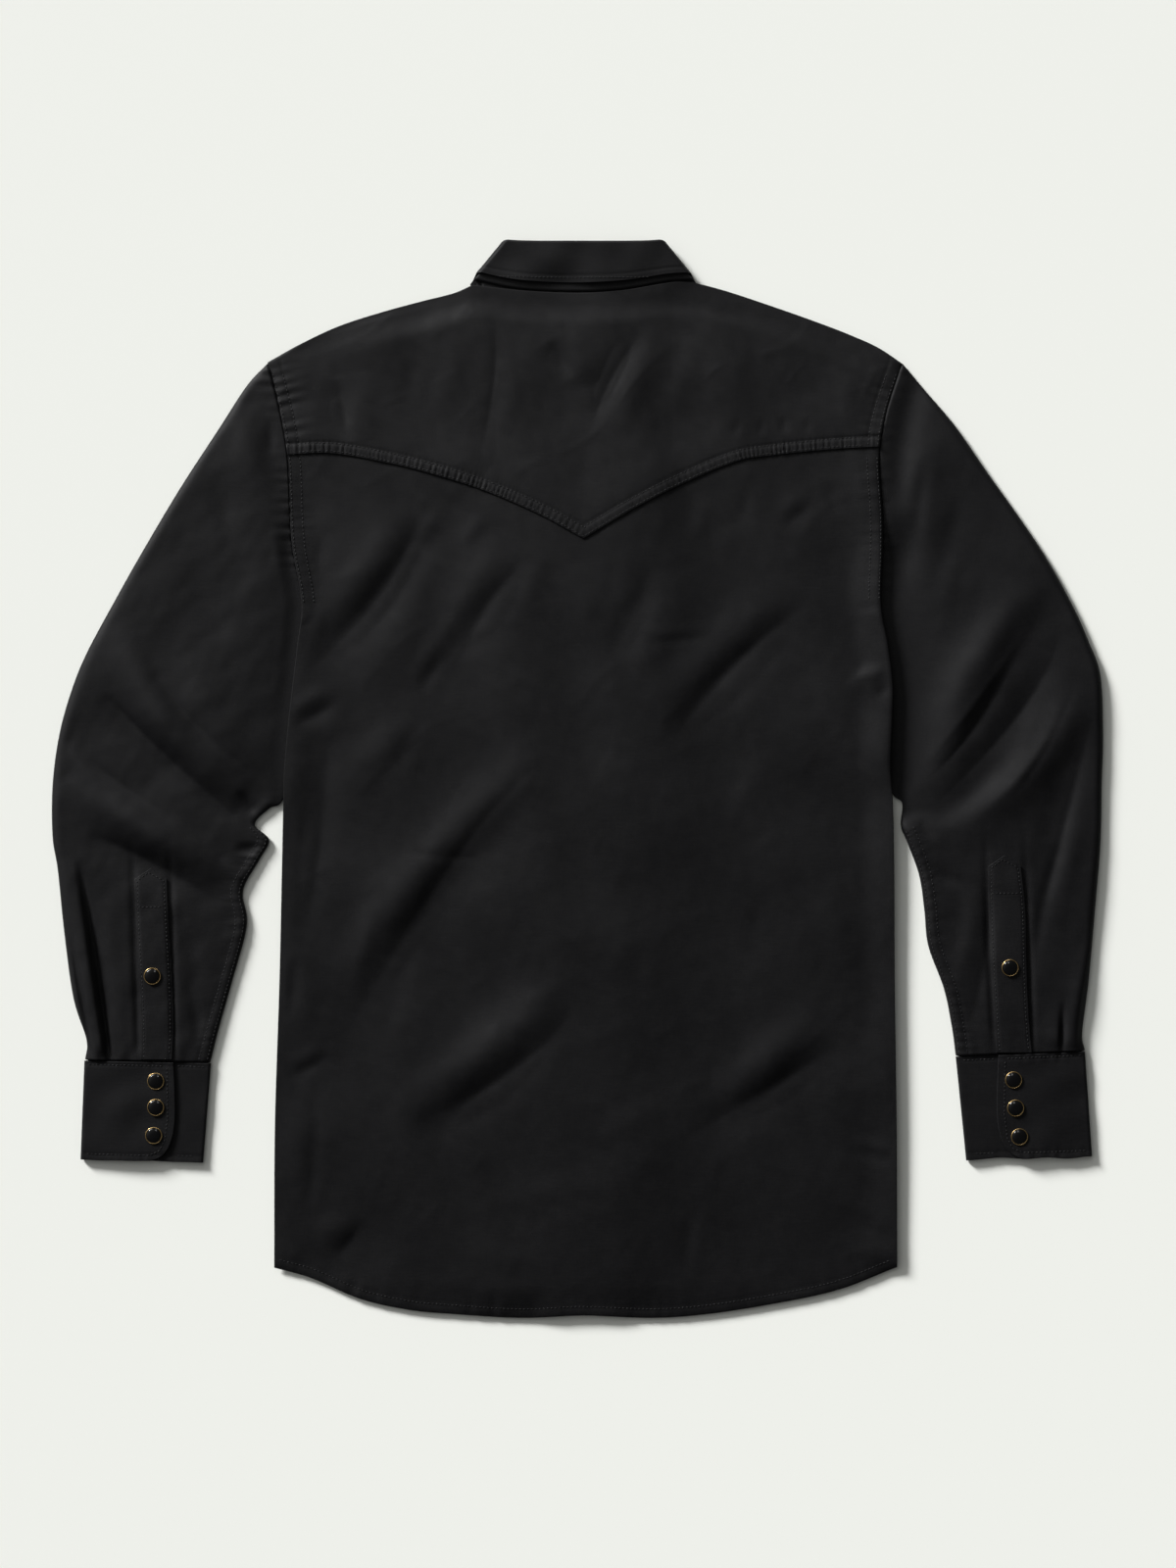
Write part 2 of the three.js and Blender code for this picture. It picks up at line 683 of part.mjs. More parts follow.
const FRONT_SNAP_OUTLINE = [
  [0, 0],
  [SNAP_RADIUS - FRONT_SNAP_EDGE, 0],
  [SNAP_RADIUS, FRONT_SNAP_EDGE],
  [SNAP_RADIUS, FRONT_SNAP_HEIGHT],
  [0, FRONT_SNAP_HEIGHT],
];

for (let n = 0; n < FRONT_SNAPS; n += 1) {
  const geometry = turned(FRONT_SNAP_OUTLINE, FRONT_SNAP_SIDES);
  const snap = addMesh(`front_snap_${n + 1}`, geometry, COLOURS.capEnamel);
  snap.position.set(CENTRE_X, lerp(TOP_SNAP_Y, BOTTOM_SNAP_Y, n / (FRONT_SNAPS - 1)), 0);
}

// Sleeves
// Each is a flattened tube: flat underneath, rolled at both edges, and folded on top.
const SLEEVE_RINGS = 24;
const SLEEVE_EDGE_HEIGHT = 1.9;
const TOP_ROLL = 7;
const BOTTOM_ROLL = 4;
const EDGE_STEPS = [0, 1.3, 4, 9];
const INNER_STEPS = 6;
const TUCKED_HEIGHT = 3.1; // a sleeve under the edge of the back
const TUCKED_FROM = [-40, -24]; // it lies under that edge between these heights along it
const TUCKED_TO = [165, 205];
const PRESSED_OUT = 2; // it starts to climb this far out from that edge
const PRESSED_SLOPE = 0.5;
const FREE_HEIGHT = 20; // more than any free sleeve's
const LEAST_HALF_GAP = 0.15; // between the upper and the lower wall
const HEAD_SECTIONS = 3; // the armhole's curve fades out over this many sections
const HEAD_CALM = [0, 1.5]; // folds begin between these sections
const WRIST_CALM = [14, 15]; // and end between these
const INNER_LOFT_FROM = [0.55, 0.95]; // shares across, where the outer loft turns into the inner

// The shares across a sleeve of the given width, close together at its edges.
function acrossSleeve(width) {
  const edge = EDGE_STEPS.map((step) => step / width);
  const start = edge[edge.length - 1];
  const middle = [];
  for (let n = 1; n < INNER_STEPS; n += 1) middle.push(lerp(start, 1 - start, n / INNER_STEPS));
  return [...edge, ...middle, ...edge.map((share) => 1 - share).reverse()];
}

// How far an edge has rounded up to full height at a distance from it.
function rounded(fromEdge, radius) {
  const left = 1 - Math.min(fromEdge, radius) / radius;
  return Math.sqrt(1 - left * left);
}

// A place on the sleeve: share 0 is its outer edge. The first ring follows the armhole.
function sleevePlace(sleeve, section, share) {
  const row = (key) => valueAt(sleeve.sections, "number", key, section);
  const x = lerp(row("outerX"), row("innerX"), share);
  const y = lerp(row("outerY"), row("innerY"), share);
  const first = sleeve.sections[0];
  const chordX = lerp(first.outerX, first.innerX, share);
  const chordY = lerp(first.outerY, first.innerY, share);
  const armholeX = sideAt(sleeve.side < 0 ? "left" : "right", chordY) + sleeve.side * ARMHOLE_GAP;
  const fade = Math.max(0, 1 - section / HEAD_SECTIONS) ** 2;
  return { x: x + (armholeX - chordX) * fade, y };
}

// The height of a sleeve's upper face before its edges are rounded.
function sleeveHeight(sleeve, section, share, x, y) {
  const row = (key) => valueAt(sleeve.sections, "number", key, section);
  const loft = lerp(row("outerLoft"), row("innerLoft"), smoothstep(share, ...INNER_LOFT_FROM));
  const seams = smoothstep(section, ...HEAD_CALM) * (1 - smoothstep(section, ...WRIST_CALM));
  const body = sideAt(sleeve.side < 0 ? "left" : "right", y);
  const outside = Math.max(0, sleeve.side * (x - body) - PRESSED_OUT);
  const underBack = smoothstep(y, ...TUCKED_FROM) * (1 - smoothstep(y, ...TUCKED_TO));
  const pressed = TUCKED_HEIGHT + PRESSED_SLOPE * outside + FREE_HEIGHT * (1 - underBack);
  return Math.min(loft + sleeve.folds(x, y) * seams, pressed);
}

function sleeveRing(sleeve, section) {
  const ends = [sleevePlace(sleeve, section, 0), sleevePlace(sleeve, section, 1)];
  const width = Math.hypot(ends[0].x - ends[1].x, ends[0].y - ends[1].y);
  const shares = acrossSleeve(width);
  const upper = { outer: [], inner: [] };
  const lower = { outer: [], inner: [] };
  for (const share of shares) {
    const fromEdge = Math.min(share, 1 - share) * width;
    const { x, y } = sleevePlace(sleeve, section, share);
    const height = sleeveHeight(sleeve, section, share, x, y);
    const top = lerp(SLEEVE_EDGE_HEIGHT, height, rounded(fromEdge, TOP_ROLL));
    const bottom = SLEEVE_EDGE_HEIGHT * (1 - rounded(fromEdge, BOTTOM_ROLL));
    const innerShare = CLOTH / width + share * (1 - (2 * CLOTH) / width);
    const inner = sleevePlace(sleeve, section, innerShare);
    const middle = (top + bottom) / 2;
    const half = Math.max((top - bottom) / 2 - CLOTH, LEAST_HALF_GAP);
    const gap = fromEdge > 0 ? half : 0;
    upper.outer.push(new THREE.Vector3(x, y, top));
    lower.outer.push(new THREE.Vector3(x, y, bottom));
    upper.inner.push(new THREE.Vector3(inner.x, inner.y, middle + gap));
    lower.inner.push(new THREE.Vector3(inner.x, inner.y, middle - gap));
  }
  const around = (face) => [...upper[face], ...lower[face].slice(1, -1).reverse()];
  return { outer: around("outer"), inner: around("inner"), topPoints: upper.outer };
}

function makeSleeve(name, side, rows, folds) {
  const sections = rows.map((row, number) => ({ ...row, number }));
  const sleeve = { side, sections, folds: foldField(folds) };
  const rings = [];
  for (let j = 0; j <= SLEEVE_RINGS; j += 1) {
    rings.push(sleeveRing(sleeve, (j / SLEEVE_RINGS) * (sections.length - 1)));
  }
  addMesh(name, tubeWall(rings), COLOURS.cotton);
  const cells = [];
  for (let j = 0; j < SLEEVE_RINGS; j += 1) {
    const [here, next] = [rings[j].topPoints, rings[j + 1].topPoints];
    for (let k = 0; k < here.length - 1; k += 1) {
      cells.push(facetCell([here[k], here[k + 1], next[k + 1]]));
      cells.push(facetCell([here[k], next[k + 1], next[k]]));
    }
  }
  return cells;
}

const sleeveTops = {
  left: makeSleeve("sleeve_left", -1, LEFT_SLEEVE, LEFT_SLEEVE_FOLDS),
  right: makeSleeve("sleeve_right", 1, RIGHT_SLEEVE, RIGHT_SLEEVE_FOLDS),
};

// Snaps: a domed cap inside a thin metal ring
const RING_WALL = 0.9;
const RING_HEIGHT = 1.4;
const RING_SHOULDER = 1; // height of the ring's outer edge
const CAP_HEIGHT = 2.6;
const DOME = { radius: 0.65, height: 0.88 }; // shares of the cap's, half way up its dome
const SNAP_SIDES = 16;
const capRadius = SNAP_RADIUS - RING_WALL - SEAM_GAP;

const RING_OUTLINE = [
  [SNAP_RADIUS - RING_WALL, 0],
  [SNAP_RADIUS, 0],
  [SNAP_RADIUS, RING_SHOULDER],
  [SNAP_RADIUS - RING_WALL, RING_HEIGHT],
  [SNAP_RADIUS - RING_WALL, 0],
];

const CAP_OUTLINE = [
  [0, 0],
  [capRadius, 0],
  [capRadius, RING_HEIGHT],
  [capRadius * DOME.radius, CAP_HEIGHT * DOME.height],
  [0, CAP_HEIGHT],
];

function addSnap(name, x, y, z) {
  const ring = addMesh(`snap_ring_${name}`, turned(RING_OUTLINE, SNAP_SIDES), COLOURS.ringMetal);
  const cap = addMesh(`snap_cap_${name}`, turned(CAP_OUTLINE, SNAP_SIDES), COLOURS.capEnamel);
  ring.position.set(x, y, z);
  cap.position.set(x, y, z);
}

// Cuffs
// One strip goes round: from the end that lies under, round the inner edge, along the
// surface, round the outer edge, and back on top to the overlapping end.
const CUFF_LOW = BAND / 2; // heights of the middle of the strip: on the surface,
const CUFF_UNDERLAP = 3.2; // at the end that lies under,
const CUFF_OUTER = 4; // at the outer edge,
const CUFF_OVERLAP = CUFF_UNDERLAP + BAND + SEAM_GAP; // and at the overlapping end
const CUFF_RAMP = 2; // the strip has climbed onto the end under it this far before it

// Places round a half circle that turns the strip at an edge, from one height to another.
function cuffTurn(edgeX, outward, fromZ, toZ) {
  const radius = Math.abs(toZ - fromZ) / 2;
  const middle = (fromZ + toZ) / 2;
  const centreX = edgeX - outward * (radius + BAND / 2);
  const places = [];
  for (const degrees of [-90, -45, 0, 45, 90]) {
    const angle = THREE.MathUtils.degToRad(degrees);
    const rise = Math.sign(toZ - fromZ) * Math.sin(angle) * radius;
    const normal = { x: outward * Math.cos(angle), z: Math.sign(toZ - fromZ) * Math.sin(angle) };
    places.push({ x: centreX + outward * Math.cos(angle) * radius, z: middle + rise, normal });
  }
  return places;
}

function cuffSection(cuff, down) {
  const outerX = lerp(cuff.outerTop[0], cuff.outerBottom[0], down);
  const innerX = lerp(cuff.innerTop[0], cuff.innerBottom[0], down);
  const overlapX = cuff.overlapX + cuff.side * valueAt(CUFF_CORNER, "down", "back", down);
  const innerTurn = cuffTurn(innerX, -cuff.side, CUFF_UNDERLAP, CUFF_LOW);
  const outerTurn = cuffTurn(outerX, cuff.side, CUFF_LOW, CUFF_OUTER);
  const up = { x: 0, z: 1 };
  const downwards = { x: 0, z: -1 };
  const flat = (x, z, normal) => ({ x, z, normal });
  const fromTurn = outerTurn[outerTurn.length - 1].x;
  const underStart = lerp(cuff.underlapX, innerTurn[0].x, 0.5);
  const rampX = cuff.underlapX + cuff.side * CUFF_RAMP;
  return [
    flat(cuff.underlapX, CUFF_UNDERLAP, up),
    flat(underStart, CUFF_UNDERLAP, up),
    ...innerTurn,
    flat(lerp(innerX, outerX, 1 / 3), CUFF_LOW, downwards),
    flat(lerp(innerX, outerX, 2 / 3), CUFF_LOW, downwards),
    ...outerTurn,
    flat(lerp(fromTurn, rampX, 0.5), (CUFF_OUTER + CUFF_OVERLAP) / 2, up),
    flat(rampX, CUFF_OVERLAP, up),
    flat(lerp(rampX, overlapX, 0.5), CUFF_OVERLAP, up),
    flat(overlapX, CUFF_OVERLAP, up),
  ];
}

function cuffPoint(cuff, place, down, out) {
  const fromOuter = (place.x - cuff.outerTop[0]) / (cuff.innerTop[0] - cuff.outerTop[0]);
  const topY = lerp(cuff.outerTop[1], cuff.innerTop[1], fromOuter) - SEAM_GAP;
  const bottomY = lerp(cuff.outerBottom[1], cuff.innerBottom[1], fromOuter);
  const x = place.x + place.normal.x * out;
  return new THREE.Vector3(x, lerp(topY, bottomY, down), place.z + place.normal.z * out);
}

for (const [name, cuff] of Object.entries(CUFFS)) {
  const sections = CUFF_CORNER.map(({ down }) => ({ down, places: cuffSection(cuff, down) }));
  const point = (i, j) => {
    const { down, places } = sections[j];
    return {
      outside: cuffPoint(cuff, places[i], down, BAND / 2),
      inside: cuffPoint(cuff, places[i], down, -BAND / 2),
    };
  };
  const geometry = wall(sections[0].places.length - 1, sections.length - 1, point);
  addMesh(`cuff_${name}`, geometry, COLOURS.cotton);
  const snapZ = CUFF_OVERLAP + BAND / 2 + SEAM_GAP;
  cuff.snaps.forEach(([x, y], n) => addSnap(`cuff_${name}_${n + 1}`, x, y, snapZ));
}

// Sleeve plackets
// Each lies on its sleeve's upper face, made from that face's own facets moved up.
const PLACKET_COLUMNS = 6;
const PLACKET_ROWS = 14;
const PLACKET_CLEARANCE = 0.55;
const RIM_PLACES = 8; // round a snap, where the sleeve's height under it is read

for (const [name, placket] of Object.entries(SLEEVE_PLACKETS)) {
  const lowY = placket.edges[0].y;
  const placketTop = (share) => {
    const fromTip = Math.abs(2 * share - 1);
    return lerp(placket.tip[1], placket.shoulderY, fromTip);
  };
  const point = (i, j) => {
    const share = i / PLACKET_COLUMNS;
    const y = lerp(lowY, placketTop(share), j / PLACKET_ROWS);
    const left = valueAt(placket.edges, "y", "left", y);
    const right = valueAt(placket.edges, "y", "right", y);
    const x = lerp(left, right, share);
    const z = facetHeight(sleeveTops[name], x, y) + PLACKET_CLEARANCE;
    return { outside: new THREE.Vector3(x, y, z + CLOTH), inside: new THREE.Vector3(x, y, z) };
  };
  addMesh(`sleeve_placket_${name}`, wall(PLACKET_COLUMNS, PLACKET_ROWS, point), COLOURS.cotton);
  const [snapX, snapY] = placket.snap;
  let highest = 0;
  for (let n = 0; n < RIM_PLACES; n += 1) {
    const angle = (n / RIM_PLACES) * 2 * Math.PI;
    const x = snapX + SNAP_RADIUS * Math.cos(angle);
    const y = snapY + SNAP_RADIUS * Math.sin(angle);
    highest = Math.max(highest, facetHeight(sleeveTops[name], x, y));
  }
  addSnap(`placket_${name}`, snapX, snapY, highest + PLACKET_CLEARANCE + CLOTH + SEAM_GAP);
}

// Collar
// The stand is a flattened tube that rises from the neckline, and the fall turns over its
// top and comes down outside it: at the back above it, at the front between it and the
// surface, where it ends in two points.
const COLLAR_MIDDLE = 4.35; // height half way between the back and the front of the stand
const COLLAR_TURN = 1.5; // radius of the stand's middle line at its two sides
const BACK_RISE = 3; // the fold at the back stands this much higher than the neckline
const FALL_OUT = BAND + SEAM_GAP; // from the stand's middle line to the fall's
const FALL_EDGE = 7; // the fall ends this far above the neckline at the back
const FALL_HALF_WIDTH = NECK_HALF_WIDTH + 3; // of its front edge, beside the neck
const POINT_X = 50;
const POINT_Y = 262;
const SIDE_RISE = { start: 2.5, slope: 0.8 }; // where the collar's sides lie, up from the neck
const BACK_TOP = 32; // the fold at the back lies this far above the neck's sides
const SQUARENESS = 6; // power by which the back turns into the sides
const FRONT_OPENING = 0.03; // share of the front that stays open in the middle
const COLLAR_BACK_STEPS = 12;
const COLLAR_FRONT_STEPS = 7;

// Stations round the collar, from the middle of the front round the back to the front again.
// way is across from -1 to 1, and angle turns from the front (-90) over a side to the back (90).
function collarStations() {
  const stations = [];
  const front = (side, n) => {
    const share = lerp(FRONT_OPENING, 1, n / COLLAR_FRONT_STEPS);
    return { way: side * Math.sin((share * Math.PI) / 2), angle: -90, side };
  };
  for (let n = 0; n <= COLLAR_FRONT_STEPS; n += 1) stations.push(front(-1, n));
  for (const angle of [-45, 0, 45]) stations.push({ way: -1, angle, side: -1 });
  for (let n = 0; n <= COLLAR_BACK_STEPS; n += 1) {
    const way = lerp(-1, 1, n / COLLAR_BACK_STEPS);
    stations.push({ way, angle: 90, side: Math.sign(way) || 1 });
  }
  for (const angle of [45, 0, -45]) stations.push({ way: 1, angle, side: 1 });
  for (let n = COLLAR_FRONT_STEPS; n >= 0; n -= 1) stations.push(front(1, n));
  return stations;
}

// A point of the collar: up is the way from the neckline, out is away from the stand's
// middle line, and towards is how far the front's fall has gone from the fold to its edge.
function collarPoint(station, up, out, towards) {
  const share = up / STAND_HEIGHT;
  const halfWidth = lerp(NECK_HALF_WIDTH, FOLD_HALF_WIDTH, share);
  const radians = THREE.MathUtils.degToRad(station.angle);
  const flatHalf = halfWidth - COLLAR_TURN;
  const sideways = station.side * Math.cos(radians) * (COLLAR_TURN + out);
  const x = CENTRE_X + station.way * flatHalf + sideways;
  const sideY = NECK_SIDE_Y + SIDE_RISE.start + up * SIDE_RISE.slope;
  const backY = lerp(shoulderAt(x) + SEAM_GAP, NECK_SIDE_Y + BACK_TOP, share);
  const frontDrop = NECK_SIDE_Y - NECK_FRONT_Y;
  const frontY = sideY - frontDrop * Math.sqrt(Math.max(0, 1 - station.way ** 2));
  const atBack = station.angle > 0 ? 1 - Math.abs(station.way) ** SQUARENESS : 0;
  const y = station.angle > 0 ? lerp(sideY, backY, atBack) : frontY;
  const backness = (1 + Math.sin(radians)) / 2;
  const z = COLLAR_MIDDLE + Math.sin(radians) * (COLLAR_TURN + out) + BACK_RISE * share * backness;
  const point = new THREE.Vector3(x, y, z);
  if (towards > 0 && station.angle < 0) {
    const atPoint = 1 - Math.abs(station.way);
    const edgeX = CENTRE_X + station.side * lerp(FALL_HALF_WIDTH, POINT_X, atPoint);
    const edgeY = lerp(NECK_SIDE_Y, POINT_Y, atPoint);
    const low = -Math.sin(radians);
    point.x = lerp(point.x, edgeX, towards * low);
    point.y = lerp(point.y, edgeY, towards * low);
    point.z = lerp(point.z, COLLAR_MIDDLE - COLLAR_TURN - out, towards * low);
  }
  return point;
}

const stations = collarStations();
const STAND_START = 0.4;
const STAND_END = STAND_HEIGHT - 4; // the stand ends under the fold
const STAND_ROWS = 3;
const FOLD_START = STAND_HEIGHT - 3.4; // the fall's inner edge, just above the stand's
const FOLD_TOP = STAND_HEIGHT - 1.5; // the middle of the fold
const FOLD_ANGLES = [-90, -30, 30, 90];
const FALL_ROWS = 3;

function standFaces(i, j) {
  const up = lerp(STAND_START, STAND_END, j / STAND_ROWS);
  return {
    outside: collarPoint(stations[i], up, BAND / 2, 0),
    inside: collarPoint(stations[i], up, -BAND / 2, 0),
  };
}

addMesh("collar_stand", wall(stations.length - 1, STAND_ROWS, standFaces), COLOURS.cotton);

// The fall's section: its inner edge above the stand, round the fold, and down to its edge.
// Each row gives the way up and out, the direction that the wall's outer side faces, and how
// far the fall has gone towards its edge.
function fallSection() {
  const radius = FALL_OUT / 2;
  const rows = [{ up: FOLD_START, out: 0, faceUp: 0, faceOut: -1, towards: 0 }];
  for (const degrees of FOLD_ANGLES) {
    const angle = THREE.MathUtils.degToRad(degrees);
    const [faceUp, faceOut] = [Math.cos(angle), Math.sin(angle)];
    const [up, out] = [FOLD_TOP + radius * faceUp, radius + radius * faceOut];
    rows.push({ up, out, faceUp, faceOut, towards: 0 });
  }
  for (let n = 1; n <= FALL_ROWS; n += 1) {
    const towards = n / FALL_ROWS;
    const up = lerp(FOLD_TOP, FALL_EDGE, towards);
    rows.push({ up, out: FALL_OUT, faceUp: 0, faceOut: 1, towards });
  }
  return rows;
}

const fallRows = fallSection();

function fallFaces(i, j) {
  const { up, out, faceUp, faceOut, towards } = fallRows[j];
  const half = BAND / 2;
  const face = (sign) => {
    const offUp = up + sign * half * faceUp;
    return collarPoint(stations[i], offUp, out + sign * half * faceOut, towards);
  };
  return { outside: face(1), inside: face(-1) };
}

addMesh("collar_fall", wall(stations.length - 1, fallRows.length - 1, fallFaces), COLOURS.cotton);

export default shirt;
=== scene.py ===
"""Western snap shirt of black cotton twill, laid flat on its front and seen from straight above.

Sizes are in millimetres in the tables and classes, and become metres where a mesh is made.
+X is the wearer's right, +Y runs from the hem to the collar and +Z is up.
"""

import logging
import math
from collections.abc import Callable, Sequence
from dataclasses import dataclass, field
from enum import Enum
from functools import partial

import bpy
import numpy as np
from bpy.types import Light, Material, Node, NodeSocket, Object, World
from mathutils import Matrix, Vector
from mathutils.bvhtree import BVHTree


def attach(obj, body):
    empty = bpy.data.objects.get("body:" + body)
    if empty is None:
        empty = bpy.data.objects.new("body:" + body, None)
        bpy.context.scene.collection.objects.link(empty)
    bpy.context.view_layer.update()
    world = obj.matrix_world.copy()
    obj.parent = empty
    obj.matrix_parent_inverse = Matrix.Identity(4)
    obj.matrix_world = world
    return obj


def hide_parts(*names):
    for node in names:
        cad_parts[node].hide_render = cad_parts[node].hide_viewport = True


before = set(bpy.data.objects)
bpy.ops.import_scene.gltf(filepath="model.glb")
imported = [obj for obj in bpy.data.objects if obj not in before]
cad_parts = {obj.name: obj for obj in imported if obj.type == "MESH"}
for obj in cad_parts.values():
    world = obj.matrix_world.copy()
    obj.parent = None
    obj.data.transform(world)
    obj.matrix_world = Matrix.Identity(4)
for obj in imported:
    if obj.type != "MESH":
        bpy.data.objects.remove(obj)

LOG = logging.getLogger("shirt")
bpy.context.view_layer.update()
MM = 0.001
Array = np.ndarray
Rows = Sequence[Sequence[float]]


def ease(value: Array | float, low: float, high: float) -> Array:
    """Rise smoothly from 0 at low to 1 at high."""
    t = np.clip((np.asarray(value, float) - low) / (high - low), 0.0, 1.0)
    return t * t * (3.0 - 2.0 * t)


def mix(first: Array | float, second: Array | float, share: Array | float) -> Array | float:
    """Go from the first value to the second by a share."""
    return first + (second - first) * share


def bell(offset: Array, width: float) -> Array:
    """Fall off smoothly on both sides of 0, to about a third at the width."""
    return np.exp(-((offset / width) ** 2))


def points_at(x: Array, y: Array, z: Array) -> Array:
    """Join places and their heights into points."""
    return np.stack([x, y, z], axis=-1)


def ways(points: Array) -> Array:
    """Measure how far along a line each of its points is."""
    steps = np.linalg.norm(np.diff(points, axis=0), axis=1)
    return np.concatenate([[0.0], np.cumsum(steps)])


def near_line(path: Array, x: Array, y: Array, reach: float) -> Array:
    """Pick the places in the box round a line."""
    low, high = path.min(axis=0) - reach, path.max(axis=0) + reach
    return (x > low[0]) & (x < high[0]) & (y > low[1]) & (y < high[1])


def nearest_on(path: Array, x: Array, y: Array) -> tuple[Array, Array, Array]:
    """Find how places lie to a line.

    Args:
        path: The line's points.
        x: Places across.
        y: Places along.

    Returns:
        How far the places are from the line, the side (1 is left of it and -1 is right), and
        the number of the nearest point on it, with the share of the way to the next.
    """
    best = np.full(x.shape, np.inf)
    side, along = np.zeros(x.shape), np.zeros(x.shape)
    for i, ((ax, ay), (dx, dy)) in enumerate(zip(path, np.diff(path, axis=0))):
        t = np.clip(((x - ax) * dx + (y - ay) * dy) / (dx * dx + dy * dy), 0, 1)
        off_x, off_y = x - ax - t * dx, y - ay - t * dy
        away = np.hypot(off_x, off_y)
        closer = away < best
        best = np.where(closer, away, best)
        side = np.where(closer, np.sign(dx * off_y - dy * off_x + 1e-9), side)
        along = np.where(closer, i + t, along)
    return best, side, along


class Table:
    """A short table with named columns, read on a smooth curve through its rows."""

    def __init__(self, names: str, rows: Rows, along: str) -> None:
        """Keep the columns.

        Args:
            names: The columns' names, with a space between them.
            rows: A row of numbers for each section, place or fold.
            along: The column that says where each row lies.
        """
        keys = names.split()
        self.columns = {key: np.array([row[i] for row in rows], float) for i, key in enumerate(keys)}
        self.along = self.columns[along]
        self.corner = self.columns.get("corner", np.zeros(len(rows)))

    def _slope(self, values: Array, row: Array, after: bool) -> Array:
        """Find the curve's slope at rows, one-sided at a corner.

        Args:
            values: The column that is read.
            row: The rows' numbers.
            after: Whether the curve goes on after the row, rather than ends at it.

        Returns:
            The slope at each row.
        """
        last = len(values) - 1
        sharp = self.corner[row] == 1
        start = np.where(sharp & after, row, row - 1)
        end = np.where(sharp & (not after), row, row + 1)
        start, end = np.clip(start, 0, last), np.clip(end, 0, last)
        return (values[end] - values[start]) / (self.along[end] - self.along[start])

    def at(self, column: str, place: Array | float) -> Array:
        """Read one column at places along the table.

        Args:
            column: The column's name.
            place: Where to read it.

        Returns:
            The column's values there.
        """
        values = self.columns[column]
        where = np.asarray(place, float)
        row = np.clip(np.searchsorted(self.along, where, side="right") - 1, 0, len(values) - 2)
        span = self.along[row + 1] - self.along[row]
        t = np.clip((where - self.along[row]) / span, 0.0, 1.0)
        start = self._slope(values, row, True) * span
        end = self._slope(values, row + 1, False) * span
        bulge = t * (1 - t) * ((1 - t) * start - t * end)
        return mix(values[row], values[row + 1], t * t * (3 - 2 * t)) + bulge


class SoftNoise:
    """A smooth uneven surface: many waves of about one length in all directions."""

    def __init__(self, seed: int, wavelength: float, stretch: float = 1.0, turn: float = 0.0) -> None:
        """Draw the waves.

        Args:
            seed: Fixes the draw.
            wavelength: About how far apart the crests are.
            stretch: How much longer the waves are across the turned direction.
            turn: The direction that they are stretched along, in degrees.
        """
        draw = np.random.RandomState(seed)
        count = 28
        angle = draw.uniform(0, 2 * math.pi, count)
        number = 2 * math.pi / (wavelength * draw.uniform(0.7, 1.5, count))
        along, across = number * np.cos(angle) / stretch, number * np.sin(angle)
        cos, sin = math.cos(math.radians(turn)), math.sin(math.radians(turn))
        self.kx, self.ky = along * cos - across * sin, along * sin + across * cos
        self.phase = draw.uniform(0, 2 * math.pi, count)
        self.scale = math.sqrt(2 / count)

    def at(self, x: Array, y: Array) -> Array:
        """Read the surface, which lies mostly between -1.5 and 1.5.

        Args:
            x: Places across.
            y: Places along.

        Returns:
            The height at each place.
        """
        total = np.zeros(np.shape(x))
        for kx, ky, phase in zip(self.kx, self.ky, self.phase):
            total = total + np.cos(kx * x + ky * y + phase)
        return total * self.scale


class FoldField:
    """The heights that a table of folds adds: ridges above 0 and troughs below."""

    STEPS = 10
    REACH = 3.2
    TAPER = 1.2

    def __init__(self, rows: Rows, wider: float = 1.0, deeper: float = 1.0) -> None:
        """Lay each fold on a curve through its three places.

        Args:
            rows: The folds: three places (x, y), width, height, lean and crisp. lean is how
                much wider a fold is on its left side, seen from its start, and crisp is the
                power of its fall-off: 2 is soft and 1.2 is pressed.
            wider: How much wider than its row each fold is.
            deeper: How much higher or deeper than its row each fold is.
        """
        self.folds = []
        t = np.linspace(0, 1, self.STEPS + 1)[:, None]
        for row in rows:
            start, middle, end = np.array(row[:6], float).reshape(3, 2)
            pull = 2 * middle - 0.5 * (start + end)
            path = (1 - t) ** 2 * start + 2 * t * (1 - t) * pull + t**2 * end
            width, height, lean, crisp = [*row[6:], *(0.0, 2.0)[len(row) - 8:]]
            self.folds.append((path, width * wider, height * deeper, lean, crisp))

    def at(self, x: Array, y: Array) -> Array:
        """Add up the folds.

        Args:
            x: Places across.
            y: Places along.

        Returns:
            The added height at each place.
        """
        total = np.zeros(np.shape(x))
        for path, width, height, lean, crisp in self.folds:
            near = near_line(path, x, y, self.REACH * width * (1 + abs(lean)))
            if near.any():
                away, side, along = nearest_on(path, x[near], y[near])
                taper = np.clip(np.sin(math.pi * along / self.STEPS), 0, 1) ** self.TAPER
                fall = np.exp(-((away / (width * (1 + lean * side))) ** crisp))
                total[near] += height * taper * fall
        return total


